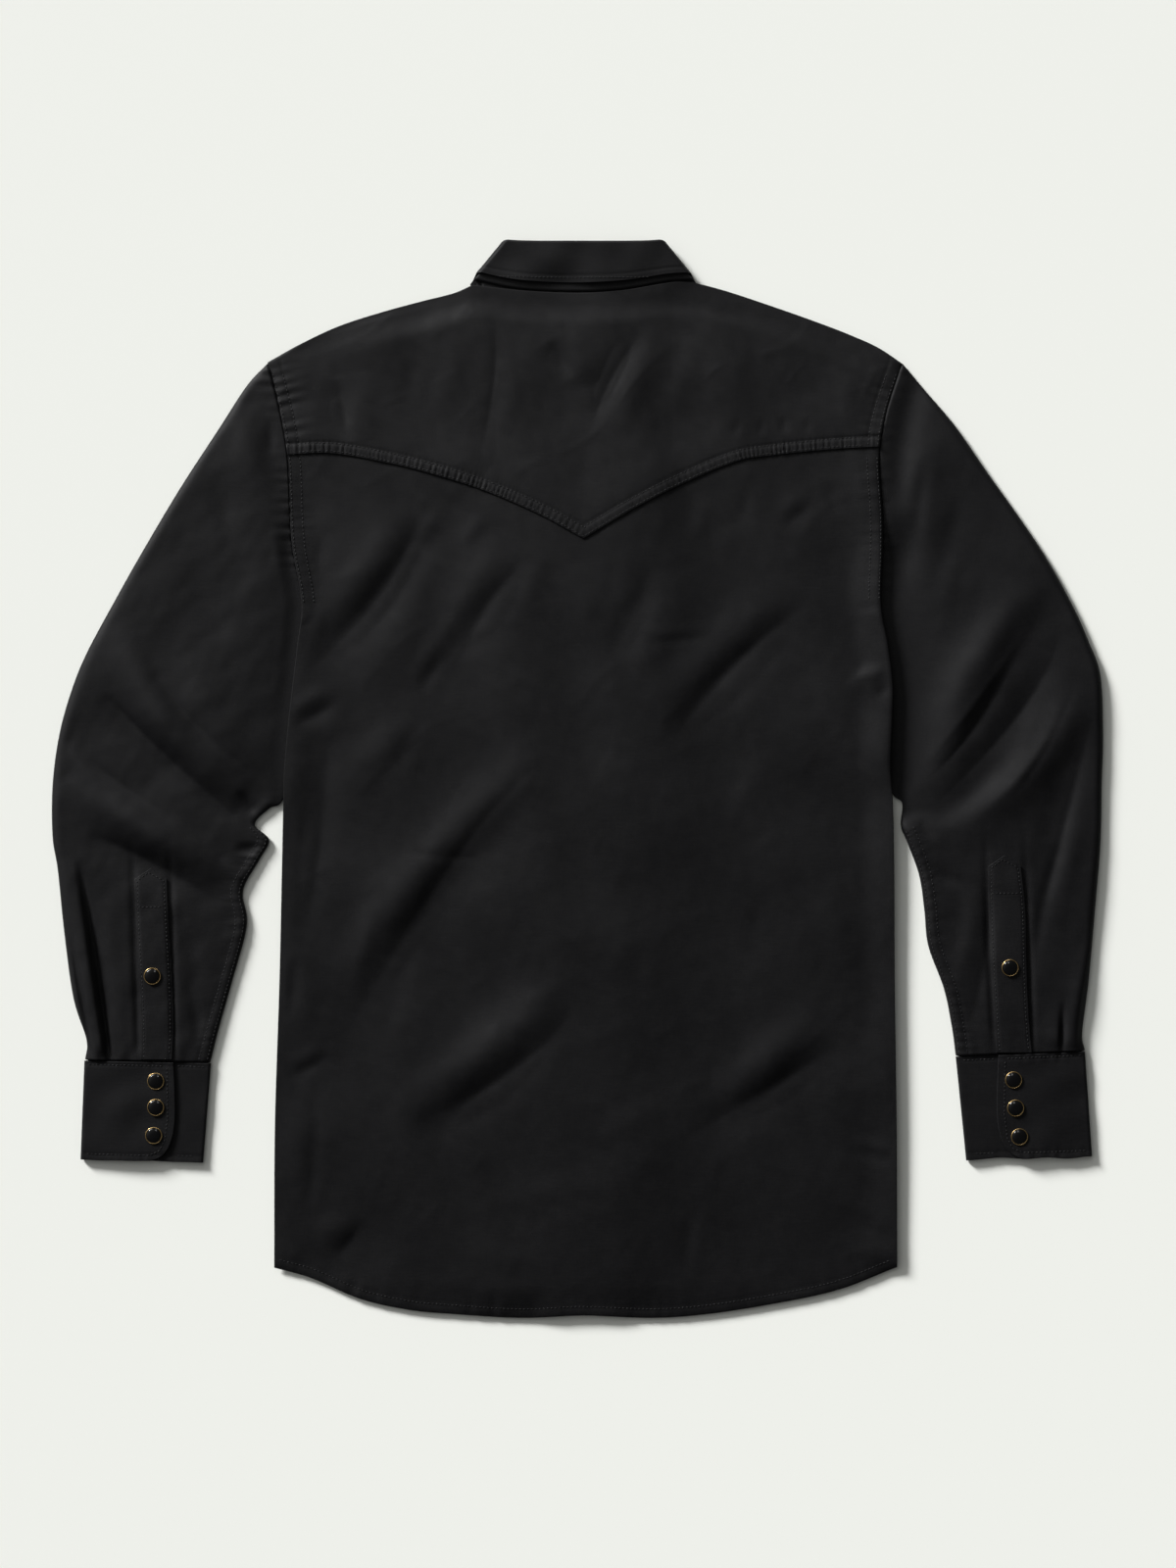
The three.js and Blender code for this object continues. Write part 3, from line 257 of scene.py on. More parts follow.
class Seam:
    """A sewn line on the cloth, with the puckers that its thread draws up."""

    def __init__(self, points: Array, seed: int, wavelength: float = 7.0) -> None:
        """Keep the line.

        Args:
            points: Places along it.
            seed: Fixes its puckers.
            wavelength: About how far apart they are.
        """
        self.points, self.start = points, ways(points)
        draw = np.random.RandomState(seed)
        self.waves = 2 * math.pi / (wavelength * draw.uniform(0.65, 1.9, 9))
        self.phase = draw.uniform(0, 2 * math.pi, 9)
        self.swell = 2 * math.pi / draw.uniform(55, 140, 3)
        self.swell_phase = draw.uniform(0, 2 * math.pi, 3)

    def ripple(self, along: Array) -> Array:
        """Read the puckers' height along the line, uneven from stretch to stretch.

        Args:
            along: How far along the line.

        Returns:
            A height that lies mostly between -1 and 1.
        """
        total = sum(np.cos(k * along + p) for k, p in zip(self.waves, self.phase))
        swell = sum(np.cos(k * along + p) for k, p in zip(self.swell, self.swell_phase))
        return total / math.sqrt(9 / 2) * np.clip(0.8 + 0.2 * swell, 0.45, 1.4)

    def relief(self, x: Array, y: Array, band: "Band") -> Array:
        """Shape the cloth beside the seam.

        Args:
            x: Places across.
            y: Places along.
            band: The sewn band's sizes.

        Returns:
            The added height at each place.
        """
        total = np.zeros(np.shape(x))
        near = near_line(self.points, x, y, band.reach * 2.2 + band.width)
        if not near.any():
            return total
        away, side, number = nearest_on(self.points, x[near], y[near])
        along = np.interp(number, np.arange(len(self.points)), self.start)
        inside = away * side * band.side
        raised = band.raise_by * ease(inside, -0.4, 0.4)
        raised = raised * (1 - ease(inside, band.width - 0.6, band.width + 0.8))
        groove = band.groove * bell(inside - band.width, 1.3)
        edge = band.edge_groove * bell(inside, 1.1)
        middle = inside - 0.5 * band.width
        spread = np.where(middle > 0, band.reach + band.past * band.width, band.reach)
        pucker = band.pucker * self.ripple(along) * bell(middle, spread)
        total[near] = raised - groove - edge + pucker
        return total


@dataclass(frozen=True)
class Band:
    """A sewn band beside a seam: side is 1 where it lies left of the seam's line."""

    side: float = 1.0
    width: float = 9.0
    raise_by: float = 0.35
    groove: float = 0.35
    edge_groove: float = 0.0
    pucker: float = 0.3
    reach: float = 9.0
    past: float = 0.5


def polyline(points: Rows, step: float) -> Array:
    """Space points evenly along a line through the given ones.

    Args:
        points: The line's corners.
        step: How far apart the new points are, about.

    Returns:
        The new points, with both ends kept.
    """
    corners = np.array(points, float)
    start = ways(corners)
    where = np.linspace(0, start[-1], max(2, int(round(start[-1] / step)) + 1))
    return np.stack([np.interp(where, start, column) for column in corners.T], axis=1)


class Slot(Enum):
    """The record's material slots."""

    COTTON = "cotton"
    SNAP_CAP = "snap_cap"
    SNAP_RING = "snap_ring"


class Signal:
    """A shader value that can be used in Python arithmetic."""

    def __init__(self, shader: "Shader", socket: NodeSocket) -> None:
        """Wrap a shader's output socket."""
        self.shader, self.socket = shader, socket

    def _math(self, operation: str, *values: "Signal | float") -> "Signal":
        """Add a Math node."""
        return self.shader.node("ShaderNodeMath", {"operation": operation}, dict(enumerate(values)))

    def __add__(self, other: "Signal | float") -> "Signal":
        """Add a value."""
        return self._math("ADD", self, other)

    __radd__ = __add__

    def __mul__(self, other: "Signal | float") -> "Signal":
        """Multiply by a value."""
        return self._math("MULTIPLY", self, other)

    __rmul__ = __mul__

    def __sub__(self, other: "Signal | float") -> "Signal":
        """Take a value away."""
        return self._math("SUBTRACT", self, other)

    def __rsub__(self, other: "Signal | float") -> "Signal":
        """Take this from a value."""
        return self._math("SUBTRACT", other, self)

    def __pow__(self, other: "Signal | float") -> "Signal":
        """Raise to a power."""
        return self._math("POWER", self, other)

    def clamped(self) -> "Signal":
        """Keep the value from 0 to 1."""
        return self.shader.node("ShaderNodeClamp", {}, {0: self})


class Shader:
    """The node tree of a material or of the surroundings."""

    def __init__(self, holder: Material | World) -> None:
        """Start an empty tree.

        Args:
            holder: What the tree belongs to.
        """
        self.holder = holder
        holder.use_nodes = True
        self.tree = holder.node_tree
        self.tree.nodes.clear()

    def node(self, kind: str, settings: dict, sockets: dict, out: str | int = 0) -> Signal:
        """Add a node.

        Args:
            kind: The node's type.
            settings: What is set on it first. "stops" are a ramp's (place, colour) pairs.
            sockets: Values or signals by the name or the number of the input.
            out: The output that is wanted.

        Returns:
            That output.
        """
        node = self.tree.nodes.new(kind)
        for key, value in settings.items():
            if key == "stops":
                self._stops(node, value)
            else:
                setattr(node, key, value)
        for key, value in sockets.items():
            socket = node.inputs[key]
            if isinstance(value, Signal):
                self.tree.links.new(value.socket, socket)
            else:
                socket.default_value = value
        return Signal(self, node.outputs[out] if len(node.outputs) else None)

    @staticmethod
    def _stops(node: Node, stops: Sequence[tuple[float, tuple]]) -> None:
        """Set a ramp's stops.

        Args:
            node: The ramp.
            stops: The place and the colour of each.
        """
        elements = node.color_ramp.elements
        while len(elements) < len(stops):
            elements.new(0.5)
        for element, (place, colour) in zip(elements, stops):
            element.position = place
            element.color = colour

    def blend(self, factor: Signal | float, first: Signal | tuple, second: Signal | tuple) -> Signal:
        """Mix two colours, by the second one's share."""
        sockets = {"Factor": factor, 6: first, 7: second}
        return self.node("ShaderNodeMix", {"data_type": "RGBA"}, sockets, 2)

    def place(self) -> Signal:
        """Read the place on the object, in metres."""
        return self.node("ShaderNodeTexCoord", {}, {}, "Object")

    def mapping(self, place: Signal, scale: tuple, turn: float = 0.0) -> Signal:
        """Scale a place, and turn it by so many degrees."""
        turned = (0, 0, math.radians(turn))
        return self.node("ShaderNodeMapping", {}, {"Vector": place, "Rotation": turned, "Scale": scale})

    def noise(self, place: Signal, scale: float, detail: float, rough: float = 0.5) -> Signal:
        """Add a noise texture."""
        sockets = {"Vector": place, "Scale": scale, "Detail": detail, "Roughness": rough}
        return self.node("ShaderNodeTexNoise", {}, sockets)

    def bump(self, strength: float, depth: float, height: Signal) -> Signal:
        """Turn a height into a bumped normal, for a depth in metres."""
        sockets = {"Strength": strength, "Distance": depth, "Height": height}
        return self.node("ShaderNodeBump", {}, sockets)

    def surface(self, **sockets: object) -> Material:
        """Finish the material with a Principled surface.

        Args:
            **sockets: What the surface is given, with _ for each space in a socket's name.

        Returns:
            The material.
        """
        named = {key.replace("_", " "): value for key, value in sockets.items()}
        bsdf = self.node("ShaderNodeBsdfPrincipled", {}, named)
        self.node("ShaderNodeOutputMaterial", {}, {"Surface": bsdf})
        return self.holder


@dataclass(frozen=True)
class CottonTwill:
    """Black cotton twill: a fine diagonal weave, soft sheen and a little lint and fading."""

    name: str = "black_cotton_twill"
    colour: tuple = (0.0014, 0.0013, 0.0018, 1)
    faded: tuple = (0.0046, 0.0044, 0.0048, 1)
    lint: tuple = (0.05, 0.05, 0.052, 1)
    lint_share: float = 0.18
    lint_stops: tuple = ((0.79, (0, 0, 0, 1)), (0.84, (1, 1, 1, 1)))
    rib: float = 0.62
    weft: tuple = (120.0, 820.0, 820.0)
    warp: tuple = (820.0, 150.0, 820.0)
    rough: float = 0.55
    roughness: float = 0.6
    specular: float = 0.115
    sheen: float = 0.015
    bump: float = 0.36
    depth: float = 0.00016
    turn: float = 45.0

    def build(self) -> Material:
        """Make the material.

        Returns:
            The material.
        """
        shader = Shader(bpy.data.materials.new(self.name))
        place = shader.place()
        turned = shader.mapping(place, (1 / MM,) * 3, self.turn)
        rib = shader.node(
            "ShaderNodeTexWave",
            {"wave_type": "BANDS", "bands_direction": "X"},
            {"Vector": turned, "Scale": 0.314 / self.rib, "Distortion": 0.6, "Detail": 1.0},
            "Fac",
        )
        weft = shader.noise(shader.mapping(place, self.weft), 1.0, 3.0, self.rough)
        warp = shader.noise(shader.mapping(place, self.warp), 1.0, 3.0, self.rough)
        yarn = shader.noise(turned, 2.2, 3.0, self.rough)
        patch = shader.noise(turned, 0.028, 3.0, self.rough)
        mottle = shader.noise(turned, 0.16, 4.0, self.rough)
        specks = shader.noise(turned, 0.55, 2.0, self.rough)
        rub = shader.node("ShaderNodeAttribute", {"attribute_name": "rub"}, {}, "Fac")
        tone = (0.55 * patch + 0.45 * mottle - 0.28).clamped()
        slub = weft + 0.7 * warp - 0.85
        fade = (0.75 * tone + 0.9 * rub * mottle + 1.5 * slub).clamped()
        cloth = shader.blend(fade, self.colour, self.faded)
        speck = shader.node("ShaderNodeValToRGB", {"stops": self.lint_stops}, {"Fac": specks})
        lint = shader.node("ShaderNodeRGBToBW", {}, {0: speck}) * self.lint_share
        return shader.surface(
            Base_Color=shader.blend(lint, cloth, self.lint),
            Roughness=(self.roughness - 0.1 * rub + 0.1 * mottle).clamped(),
            Specular_IOR_Level=self.specular,
            Sheen_Weight=self.sheen,
            Sheen_Roughness=0.45,
            Sheen_Tint=(0.85, 0.87, 0.95, 1),
            Normal=shader.bump(self.bump, self.depth, 0.6 * rib + 0.5 * yarn + 1.1 * weft + 0.8 * warp),
        )


@dataclass(frozen=True)
class SewingThread:
    """Black spun thread with a slight gloss and a fine twist."""

    name: str = "black_thread"
    colour: tuple = (0.005, 0.005, 0.0054, 1)
    light: tuple = (0.016, 0.0158, 0.017, 1)
    twist: float = 2600.0

    def build(self) -> Material:
        """Make the material.

        Returns:
            The material.
        """
        shader = Shader(bpy.data.materials.new(self.name))
        sockets = {"Vector": shader.place(), "Scale": self.twist, "Distortion": 1.2, "Detail": 1.0}
        twist = shader.node("ShaderNodeTexWave", {"bands_direction": "DIAGONAL"}, sockets, "Fac")
        return shader.surface(
            Base_Color=shader.blend(twist * 0.6, self.colour, self.light),
            Roughness=0.5,
            Specular_IOR_Level=0.22,
            Normal=shader.bump(0.4, 0.00008, twist),
        )


@dataclass(frozen=True)
class CapEnamel:
    """Glossy black enamel on the snap's domed cap, with faint hairlines from wear."""

    name: str = "snap_cap_enamel"
    colour: tuple = (0.0012, 0.0012, 0.0014, 1)
    worn: tuple = (0.003, 0.003, 0.0033, 1)
    hair: tuple = (4200.0, 700.0, 700.0)

    def build(self) -> Material:
        """Make the material.

        Returns:
            The material.
        """
        shader = Shader(bpy.data.materials.new(self.name))
        place = shader.place()
        hairs = shader.noise(shader.mapping(place, self.hair), 1.0, 3.0)
        return shader.surface(
            Base_Color=shader.blend(hairs * 0.5, self.colour, self.worn),
            Roughness=0.05 + 0.06 * hairs,
            Coat_Weight=0.1,
            Coat_Roughness=0.03,
            Specular_IOR_Level=0.17,
            Normal=shader.bump(0.06, 0.0001, shader.noise(place, 900.0, 2.0)),
        )


@dataclass(frozen=True)
class RingBrass:
    """Polished brass of the ring round each cap, a little tarnished in patches."""

    name: str = "snap_ring_brass"
    bright: tuple = (0.5, 0.35, 0.16, 1)
    tarnished: tuple = (0.24, 0.155, 0.065, 1)

    def build(self) -> Material:
        """Make the material.

        Returns:
            The material.
        """
        shader = Shader(bpy.data.materials.new(self.name))
        place = shader.place()
        patch = shader.noise(place, 420.0, 4.0)
        return shader.surface(
            Base_Color=shader.blend((patch * 1.4 - 0.3).clamped(), self.bright, self.tarnished),
            Metallic=1.0,
            Roughness=0.2 + 0.16 * patch,
            Normal=shader.bump(0.1, 0.00005, shader.noise(place, 5200.0, 2.0)),
        )


@dataclass(frozen=True)
class PalePaper:
    """The plain pale floor."""

    name: str = "studio_floor"
    colour: tuple = (0.83, 0.84, 0.8, 1)

    def build(self) -> Material:
        """Make the material."""
        shader = Shader(bpy.data.materials.new(self.name))
        return shader.surface(Base_Color=self.colour, Roughness=0.95, Specular_IOR_Level=0.1)


class Finishes:
    """Every finish, built once."""

    def __init__(self) -> None:
        """Build the materials."""
        self.cotton = CottonTwill().build()
        self.thread = SewingThread().build()
        self.enamel = CapEnamel().build()
        self.brass = RingBrass().build()
        self.floor = PalePaper().build()


def grid_faces(columns: int, rows: int, first: int, flip: bool) -> Array:
    """List a grid's faces.

    Args:
        columns: How many points it has across.
        rows: How many points it has along.
        first: The number of its first point.
        flip: Whether its faces are turned over.

    Returns:
        Four point numbers for each face.
    """
    i, j = np.meshgrid(np.arange(columns - 1), np.arange(rows - 1), indexing="ij")
    a = first + i.ravel() * rows + j.ravel()
    faces = np.stack([a, a + rows, a + rows + 1, a + 1], axis=1)
    return faces[:, ::-1] if flip else faces


def shell(outside: Array, inside: Array) -> tuple[Array, Array]:
    """Close the space between two faces of one grid.

    Args:
        outside: The outer points, by column and row.
        inside: The inner points, by column and row.

    Returns:
        The points and the faces.
    """
    columns, rows = outside.shape[:2]
    count = columns * rows
    points = np.concatenate([outside.reshape(-1, 3), inside.reshape(-1, 3)])
    faces = [grid_faces(columns, rows, 0, False), grid_faces(columns, rows, count, True)]
    number = np.arange(count).reshape(columns, rows)
    rim = np.concatenate(
        [number[:, 0], number[-1, 1:], number[-2::-1, -1], number[0, -2:0:-1]]
    )
    after = np.roll(rim, -1)
    faces.append(np.stack([rim, rim + count, after + count, after], axis=1))
    return points, np.concatenate(faces)


def tube(outer: Array, inner: Array) -> tuple[Array, Array]:
    """Close the wall of a tube that is open at both ends.

    Args:
        outer: The outer points, by ring and place round it.
        inner: The inner points, by ring and place round it.

    Returns:
        The points and the faces.
    """
    rings, around = outer.shape[:2]
    count = rings * around
    points = np.concatenate([outer.reshape(-1, 3), inner.reshape(-1, 3)])
    j, k = np.meshgrid(np.arange(rings - 1), np.arange(around), indexing="ij")
    a = (j * around + k).ravel()
    b = (j * around + (k + 1) % around).ravel()
    walls = np.stack([a, b, b + around, a + around], axis=1)
    inside = np.stack([a, a + around, b + around, b], axis=1) + count
    k = np.arange(around)
    after = (k + 1) % around
    last = (rings - 1) * around
    start = np.stack([after, k, k + count, after + count], axis=1)
    end = np.stack([k, after, after + count, k + count], axis=1) + last
    return points, np.concatenate([walls, inside, start, end])


def make_mesh(name: str, points: Array, faces: Array, material: Material) -> Object:
    """Make a smooth object whose faces point out.

    Args:
        name: The object's name.
        points: Its points in millimetres.
        faces: Its faces.
        material: Its finish.

    Returns:
        The object.
    """
    a, b, c = points[faces[:, 0]], points[faces[:, 1]], points[faces[:, 2]]
    volume = np.einsum("ij,ij->", a, np.cross(b, c))
    if faces.shape[1] == 4:
        d = points[faces[:, 3]]
        volume += np.einsum("ij,ij->", a, np.cross(c, d))
    turned = faces if volume > 0 else faces[:, ::-1]
    mesh = bpy.data.meshes.new(name)
    mesh.from_pydata((points * MM).tolist(), [], turned.tolist())
    mesh.shade_smooth()
    mesh.materials.append(material)
    piece = bpy.data.objects.new(name, mesh)
    bpy.context.collection.objects.link(piece)
    return piece


def declare(piece: Object, node: str = "") -> None:
    """Fix a piece to the part's one body.

    Args:
        piece: The object.
        node: The solid that it replaces, if there is one.
    """
    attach(piece, "root")
    if node:
        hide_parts(node)


def cloth(node: str, mesh: tuple, rub: Array | None, finishes: Finishes, **cut: object) -> None:
    """Args:
        node: The solid that it replaces.
        mesh: Its points and its faces.
        rub: How much each point of its outer face is rubbed, from 0 to 1.
        finishes: The materials.
        **cut: The sheet that it is cut from, and how it lies; not used.
    """
    points, faces = mesh
    piece = make_mesh(f"cloth_{node}", points, faces, finishes.cotton)
    if rub is not None:
        worn = piece.data.attributes.new("rub", "FLOAT", "POINT")
        worn.data.foreach_set("value", np.tile(rub.ravel(), 2).astype(np.float32))
    declare(piece, node)
    LOG.info("%s: %d faces", piece.name, len(faces))


class Probe:
    """Finds the height of cloth that has been made, from straight above."""

    ABOVE = 500.0
    BESIDE = 14.0

    def __init__(self, grid: Array) -> None:
        """Keep the upper face, which is points by column and row."""
        faces = grid_faces(*grid.shape[:2], 0, False)
        self.tree = BVHTree.FromPolygons(grid.reshape(-1, 3).tolist(), faces.tolist())

    def height(self, x: float, y: float) -> float:
        """Read one height, or the nearest cloth's where a place lies just beside it.

        Args:
            x: The place across.
            y: The place along.

        Returns:
            The height.
        """
        hit = self.tree.ray_cast(Vector((x, y, self.ABOVE)), Vector((0, 0, -1)))
        if hit[0] is None:
            hit = self.tree.find_nearest(Vector((x, y, self.BESIDE)))
        return hit[0].z

    def heights(self, x: Array, y: Array) -> Array:
        """Read many heights."""
        flat = [self.height(*place) for place in zip(np.ravel(x), np.ravel(y))]
        return np.reshape(flat, np.shape(x))


@dataclass
class Stitching:
    """Rows of single raised stitches that follow the cloth."""

    name: str
    length: float = 2.3
    gap: float = 0.75
    radius: float = 0.27
    sides: int = 5
    step: float = 0.5
    bends: tuple = (0.0, 0.22, 0.78, 1.0)
    sunk: float = 0.12
    proud: float = 0.14
    points: list = field(default_factory=list)
    faces: list = field(default_factory=list)

    def run(self, path: Array) -> None:
        """Sew along a line on the cloth.

        Args:
            path: The line's points, on the cloth's face.
        """
        line = polyline(path, self.step)
        start = ways(line)
        pitch = self.length + self.gap
        for n in range(int(start[-1] // pitch)):
            places = n * pitch + np.array(self.bends) * self.length
            self._stitch(np.stack([np.interp(places, start, column) for column in line.T], axis=1))

    def lay(self, probe: Probe, path: Array) -> None:
        """Sew along a line of places, on the cloth that a probe finds there."""
        self.run(np.column_stack([path, probe.heights(path[:, 0], path[:, 1])]))

    def _stitch(self, spine: Array) -> None:
        """Add one stitch.

        Args:
            spine: Its two ends and the two places between them.
        """
        along = spine[3] - spine[0]
        along = along / np.linalg.norm(along)
        across = np.cross([0, 0, 1], along)
        across = across / np.linalg.norm(across)
        up = np.cross(along, across)
        first = len(self.points)
        self.points.append(spine[0] - self.sunk * up)
        for place in spine[1:3]:
            for k in range(self.sides):
                angle = 2 * math.pi * k / self.sides
                out = math.cos(angle) * across + math.sin(angle) * up
                self.points.append(place + self.proud * up + self.radius * out)
        self.points.append(spine[3] - self.sunk * up)
        s = self.sides
        last = first + 1 + 2 * s
        for k in range(s):
            after = (k + 1) % s
            a, b = first + 1 + k, first + 1 + after
            self.faces += [(first, b, a), (a, b, b + s), (a, b + s, a + s), (last, a + s, b + s)]

    def finish(self, finishes: Finishes) -> None:
        """Make the stitches' object.

        Args:
            finishes: The materials.
        """
        points, faces = np.array(self.points), np.array(self.faces)
        declare(make_mesh(self.name, points, faces, finishes.thread))
        LOG.info("%s: %d stitches", self.name, len(points) // (2 * self.sides + 2))


BODY_SIDES = Table(
    "y left right leftRim rightRim tuck",
    [
        [-374, -232, 245, 2.2, 4, 0], [-266, -231.5, 244.5, 2.4, 5, 0], [-155, -228, 243, 2.4, 5.2, 0],
        [-64, -226, 242.5, 2.8, 6, 0], [-18, -225, 241.5, 3.7, 6.4, 2], [4, -224.5, 240, 3.8, 6.2, 9],
        [45, -221, 241.5, 3.8, 5.8, 11], [71, -218, 242, 3.8, 5.8, 12],
        [101, -214.5, 238.5, 3.8, 5.8, 11], [133, -211, 233, 3.8, 5.2, 6], [176, -218, 234, 3.4, 4, 1],
        [201, -220, 234, 3, 3.2, 0], [248, -222, 231.5, 3, 3, 0], [278, -227, 236, 2.7, 2.7, 0],
        [318, -237, 249, 1.6, 1.6, 0],
    ],
    "y",
)
HEM = Table(
    "x y",
    [
        [-232, -374.5], [-205, -382], [-166, -398.5], [-128, -407], [-95, -410], [-43, -413], [5, -411],
        [57, -413], [96, -410.5], [146, -403], [200, -391.5], [245, -374],
    ],
    "x",
)
YOKE_SEAM = Table(
    "x y corner",
    [
        [-222, 248, 0], [-188, 249, 0], [-142, 241, 0], [-116, 234.5, 0], [-73, 221, 0],
        [-30, 202.5, 0], [5, 183.5, 1], [42, 205.5, 0], [83, 226.5, 0], [123, 243, 0], [146, 247, 0],
        [194, 252, 0], [232, 254, 0],
    ],
    "x",
)
SHOULDERS = Table(
    "x y corner rim",
    [
        [-237, 319, 0, 1.6], [-212, 333, 0, 1.6], [-183, 346.5, 0, 1.6], [-151, 357, 0, 1.6],
        [-118, 366, 0, 1.8], [-94, 372, 0, 3], [-80, 378, 1, 4.2], [-38, 373.5, 0, 5], [2, 372, 0, 5],
        [35, 374, 0, 5], [72, 380, 0, 4.8], [87, 380.5, 1, 4.2], [114, 373.5, 0, 2.4],
        [149, 362, 0, 1.6], [183, 350, 0, 1.6], [209, 340, 0, 1.6], [231, 330, 0, 1.6],
        [249, 318, 0, 1.6],
    ],
    "x",
)


class Pattern:
    """The shirt's outline as it lies: the same sizes as the solid pieces."""

    CLOTH = 1.2
    SEAM_GAP = 0.3
    ARMHOLE_GAP = 0.5
    YOKE_LAP = 9.0
    CENTRE_X = 5.0
    NECK_HALF_WIDTH = 84.0
    NECK_EASE = 3.0
    NECK_FRONT_Y = 301.0
    NECK_SIDE_Y = 379.0
    PLACKET_HALF_WIDTH = 17.0
    RAISED = 2.0
    OVER_PLACKET = CLOTH + SEAM_GAP
    SEAM_LIFT = CLOTH + 1.5 * SEAM_GAP
    SETTLE = 26.0
    OFF_SNAPS = 80.0

    left = partial(BODY_SIDES.at, "left")
    right = partial(BODY_SIDES.at, "right")
    hem = partial(HEM.at, "y")
    yoke_seam = partial(YOKE_SEAM.at, "y")
    shoulder = partial(SHOULDERS.at, "y")

    @classmethod
    def yoke_lap(cls, x: Array) -> Array:
        """Read the upper end of the cloth under the yoke's edge."""
        return cls.yoke_seam(x) + cls.YOKE_LAP

    @classmethod
    def over_snaps(cls, x: Array, y: Array) -> Array:
        """Find how far the placket is raised, which is nothing at the hem."""
        return cls.RAISED * ease(y - cls.hem(x), 0, cls.OFF_SNAPS)

    @classmethod
    def front_neck(cls, x: Array) -> Array:
        """Read the front neckline, half an oval."""
        across = np.clip(np.abs(x - cls.CENTRE_X) / (cls.NECK_HALF_WIDTH + cls.NECK_EASE), 0, 1)
        return cls.NECK_SIDE_Y - (cls.NECK_SIDE_Y - cls.NECK_FRONT_Y) * np.sqrt(1 - across**2)

    @classmethod
    def across(cls, share: Array, y: Array) -> Array:
        """Find the place at a share of the way across, which is the centre back at a half.

        Args:
            share: From 0 at the left side to 1 at the right.
            y: The place along.

        Returns:
            The place across.
        """
        left = mix(cls.left(y), cls.CENTRE_X, 2 * share)
        right = mix(cls.CENTRE_X, cls.right(y), 2 * share - 1)
        return np.where(share < 0.5, left, right)

    @classmethod
    def place(cls, share: Array, low: Callable, high: Callable, rise: Array) -> tuple[Array, Array]:
        """Find a place between two lines across the back.

        Args:
            share: From the left side to the right.
            low: The lower line.
            high: The upper line.
            rise: From the lower line to the upper.

        Returns:
            The places across and along.
        """
        y = np.zeros(np.broadcast(share, rise).shape)
        x = cls.across(share, y)
        for _ in range(7):
            y = mix(low(x), high(x), rise)
            x = cls.across(share, y)
        return x, y


def crowded(count: int, edges: Sequence[float]) -> Array:
    """Share out a width from 0 to 1 in even steps, with extra places close to both edges."""
    middle = np.linspace(edges[-1], 1 - edges[-1], count + 1)[1:-1]
    return np.concatenate([edges, middle, 1 - np.array(edges[::-1])])


def roll(from_edge: Array, width: float, height: float) -> Array:
    """Shape a rounded roll along an edge, highest at its width from the edge."""
    t = np.maximum(from_edge, 0) / width
    return height * t * np.exp(1 - t)


class Edges:
    """Places on the back, and how far they lie from each of its edges."""

    def __init__(self, x: Array, y: Array) -> None:
        """Measure the distances.

        Args:
            x: Places across.
            y: Places along.
        """
        self.x, self.y = x, y
        self.left, self.right = x - Pattern.left(y), Pattern.right(y) - x
        self.side = np.minimum(self.left, self.right)
        self.hem, self.top = y - Pattern.hem(x), Pattern.shoulder(x) - y
        self.nearest = np.maximum(0, np.minimum(np.minimum(self.side, self.hem), self.top))
        self.over = Pattern.over_snaps(x, y) + Pattern.OVER_PLACKET


@dataclass(frozen=True)
class Rise:
    """How cloth rises over the placket's snaps and the collar points."""

    strip: float
    points: tuple
    up: tuple

    def at(self, x: Array, y: Array, over: float) -> Array:
        """Read the rise.

        Args:
            x: Places across.
            y: Places along.
            over: How far the cloth is raised over the placket.

        Returns:
            The height that it rises.
        """
        from_centre = np.abs(x - Pattern.CENTRE_X)
        strip = over * (1 - ease(from_centre, Pattern.PLACKET_HALF_WIDTH + 3, self.strip))
        points = Pattern.RAISED * (1 - ease(from_centre, *self.points))
        return np.maximum(strip, points * ease(y, *self.up))


FRONT_RISE = Rise(45, (94, 118), (225, 250))
BACK_RISE = Rise(125, (94, 150), (190, 250))


BACK_FOLDS = [
    [-17, 26, -116, -70, -192, -174, 18, 4.2], [-12, 8, -104, -84, -182, -214, 16, -1.6],
    [7, -140, -76, -214, -146, -262, 17, 3.6], [6, -166, -62, -236, -134, -280, 14, -1.5],
    [190, -184, 146, -216, 104, -260, 16, 3.4], [206, -200, 152, -238, 82, -282, 14, -1.5],
    [-119, 200, -146, 146, -210, 78, 15, -2.4], [-128, 214, -164, 152, -214, 108, 16, 2.6],
    [-38, 172, -66, 132, -92, 90, 15, -1.8], [-52, 178, -84, 140, -132, 76, 16, 2.3],
    [-116, 180, -124, 130, -170, 70, 16, 1.8], [-121, 45, -150, 20, -206, -20, 18, 1.8],
    [-192, 40, -200, -50, -218, -180, 14, -1.3], [-164, -336, -184, -346, -204, -356, 12, 1.8],
    [179, 136, 122, 84, 70, 26, 15, -2.4], [168, 148, 108, 96, 52, 44, 17, 2.4],
    [57, 165, 44, 114, 24, 90, 16, -1.5], [72, 160, 60, 110, 40, 80, 16, 1.5],
    [210, 78, 222, 74, 240, 82, 10, 1.4], [-22, 335, -14, 322, -4, 306, 11, -1.3],
    [-10, 346, 2, 322, 8, 300, 14, 1.6], [50, 342, 30, 312, 11, 266, 12, -2],
    [66, 344, 46, 310, 24, 262, 14, 1.9], [-184, 306, -181, 282, -175, 257, 12, -1.3],
    [-170, 312, -166, 284, -160, 258, 12, 1.3], [-64, 345, -62, 300, -76, 238, 8, -0.8],
]
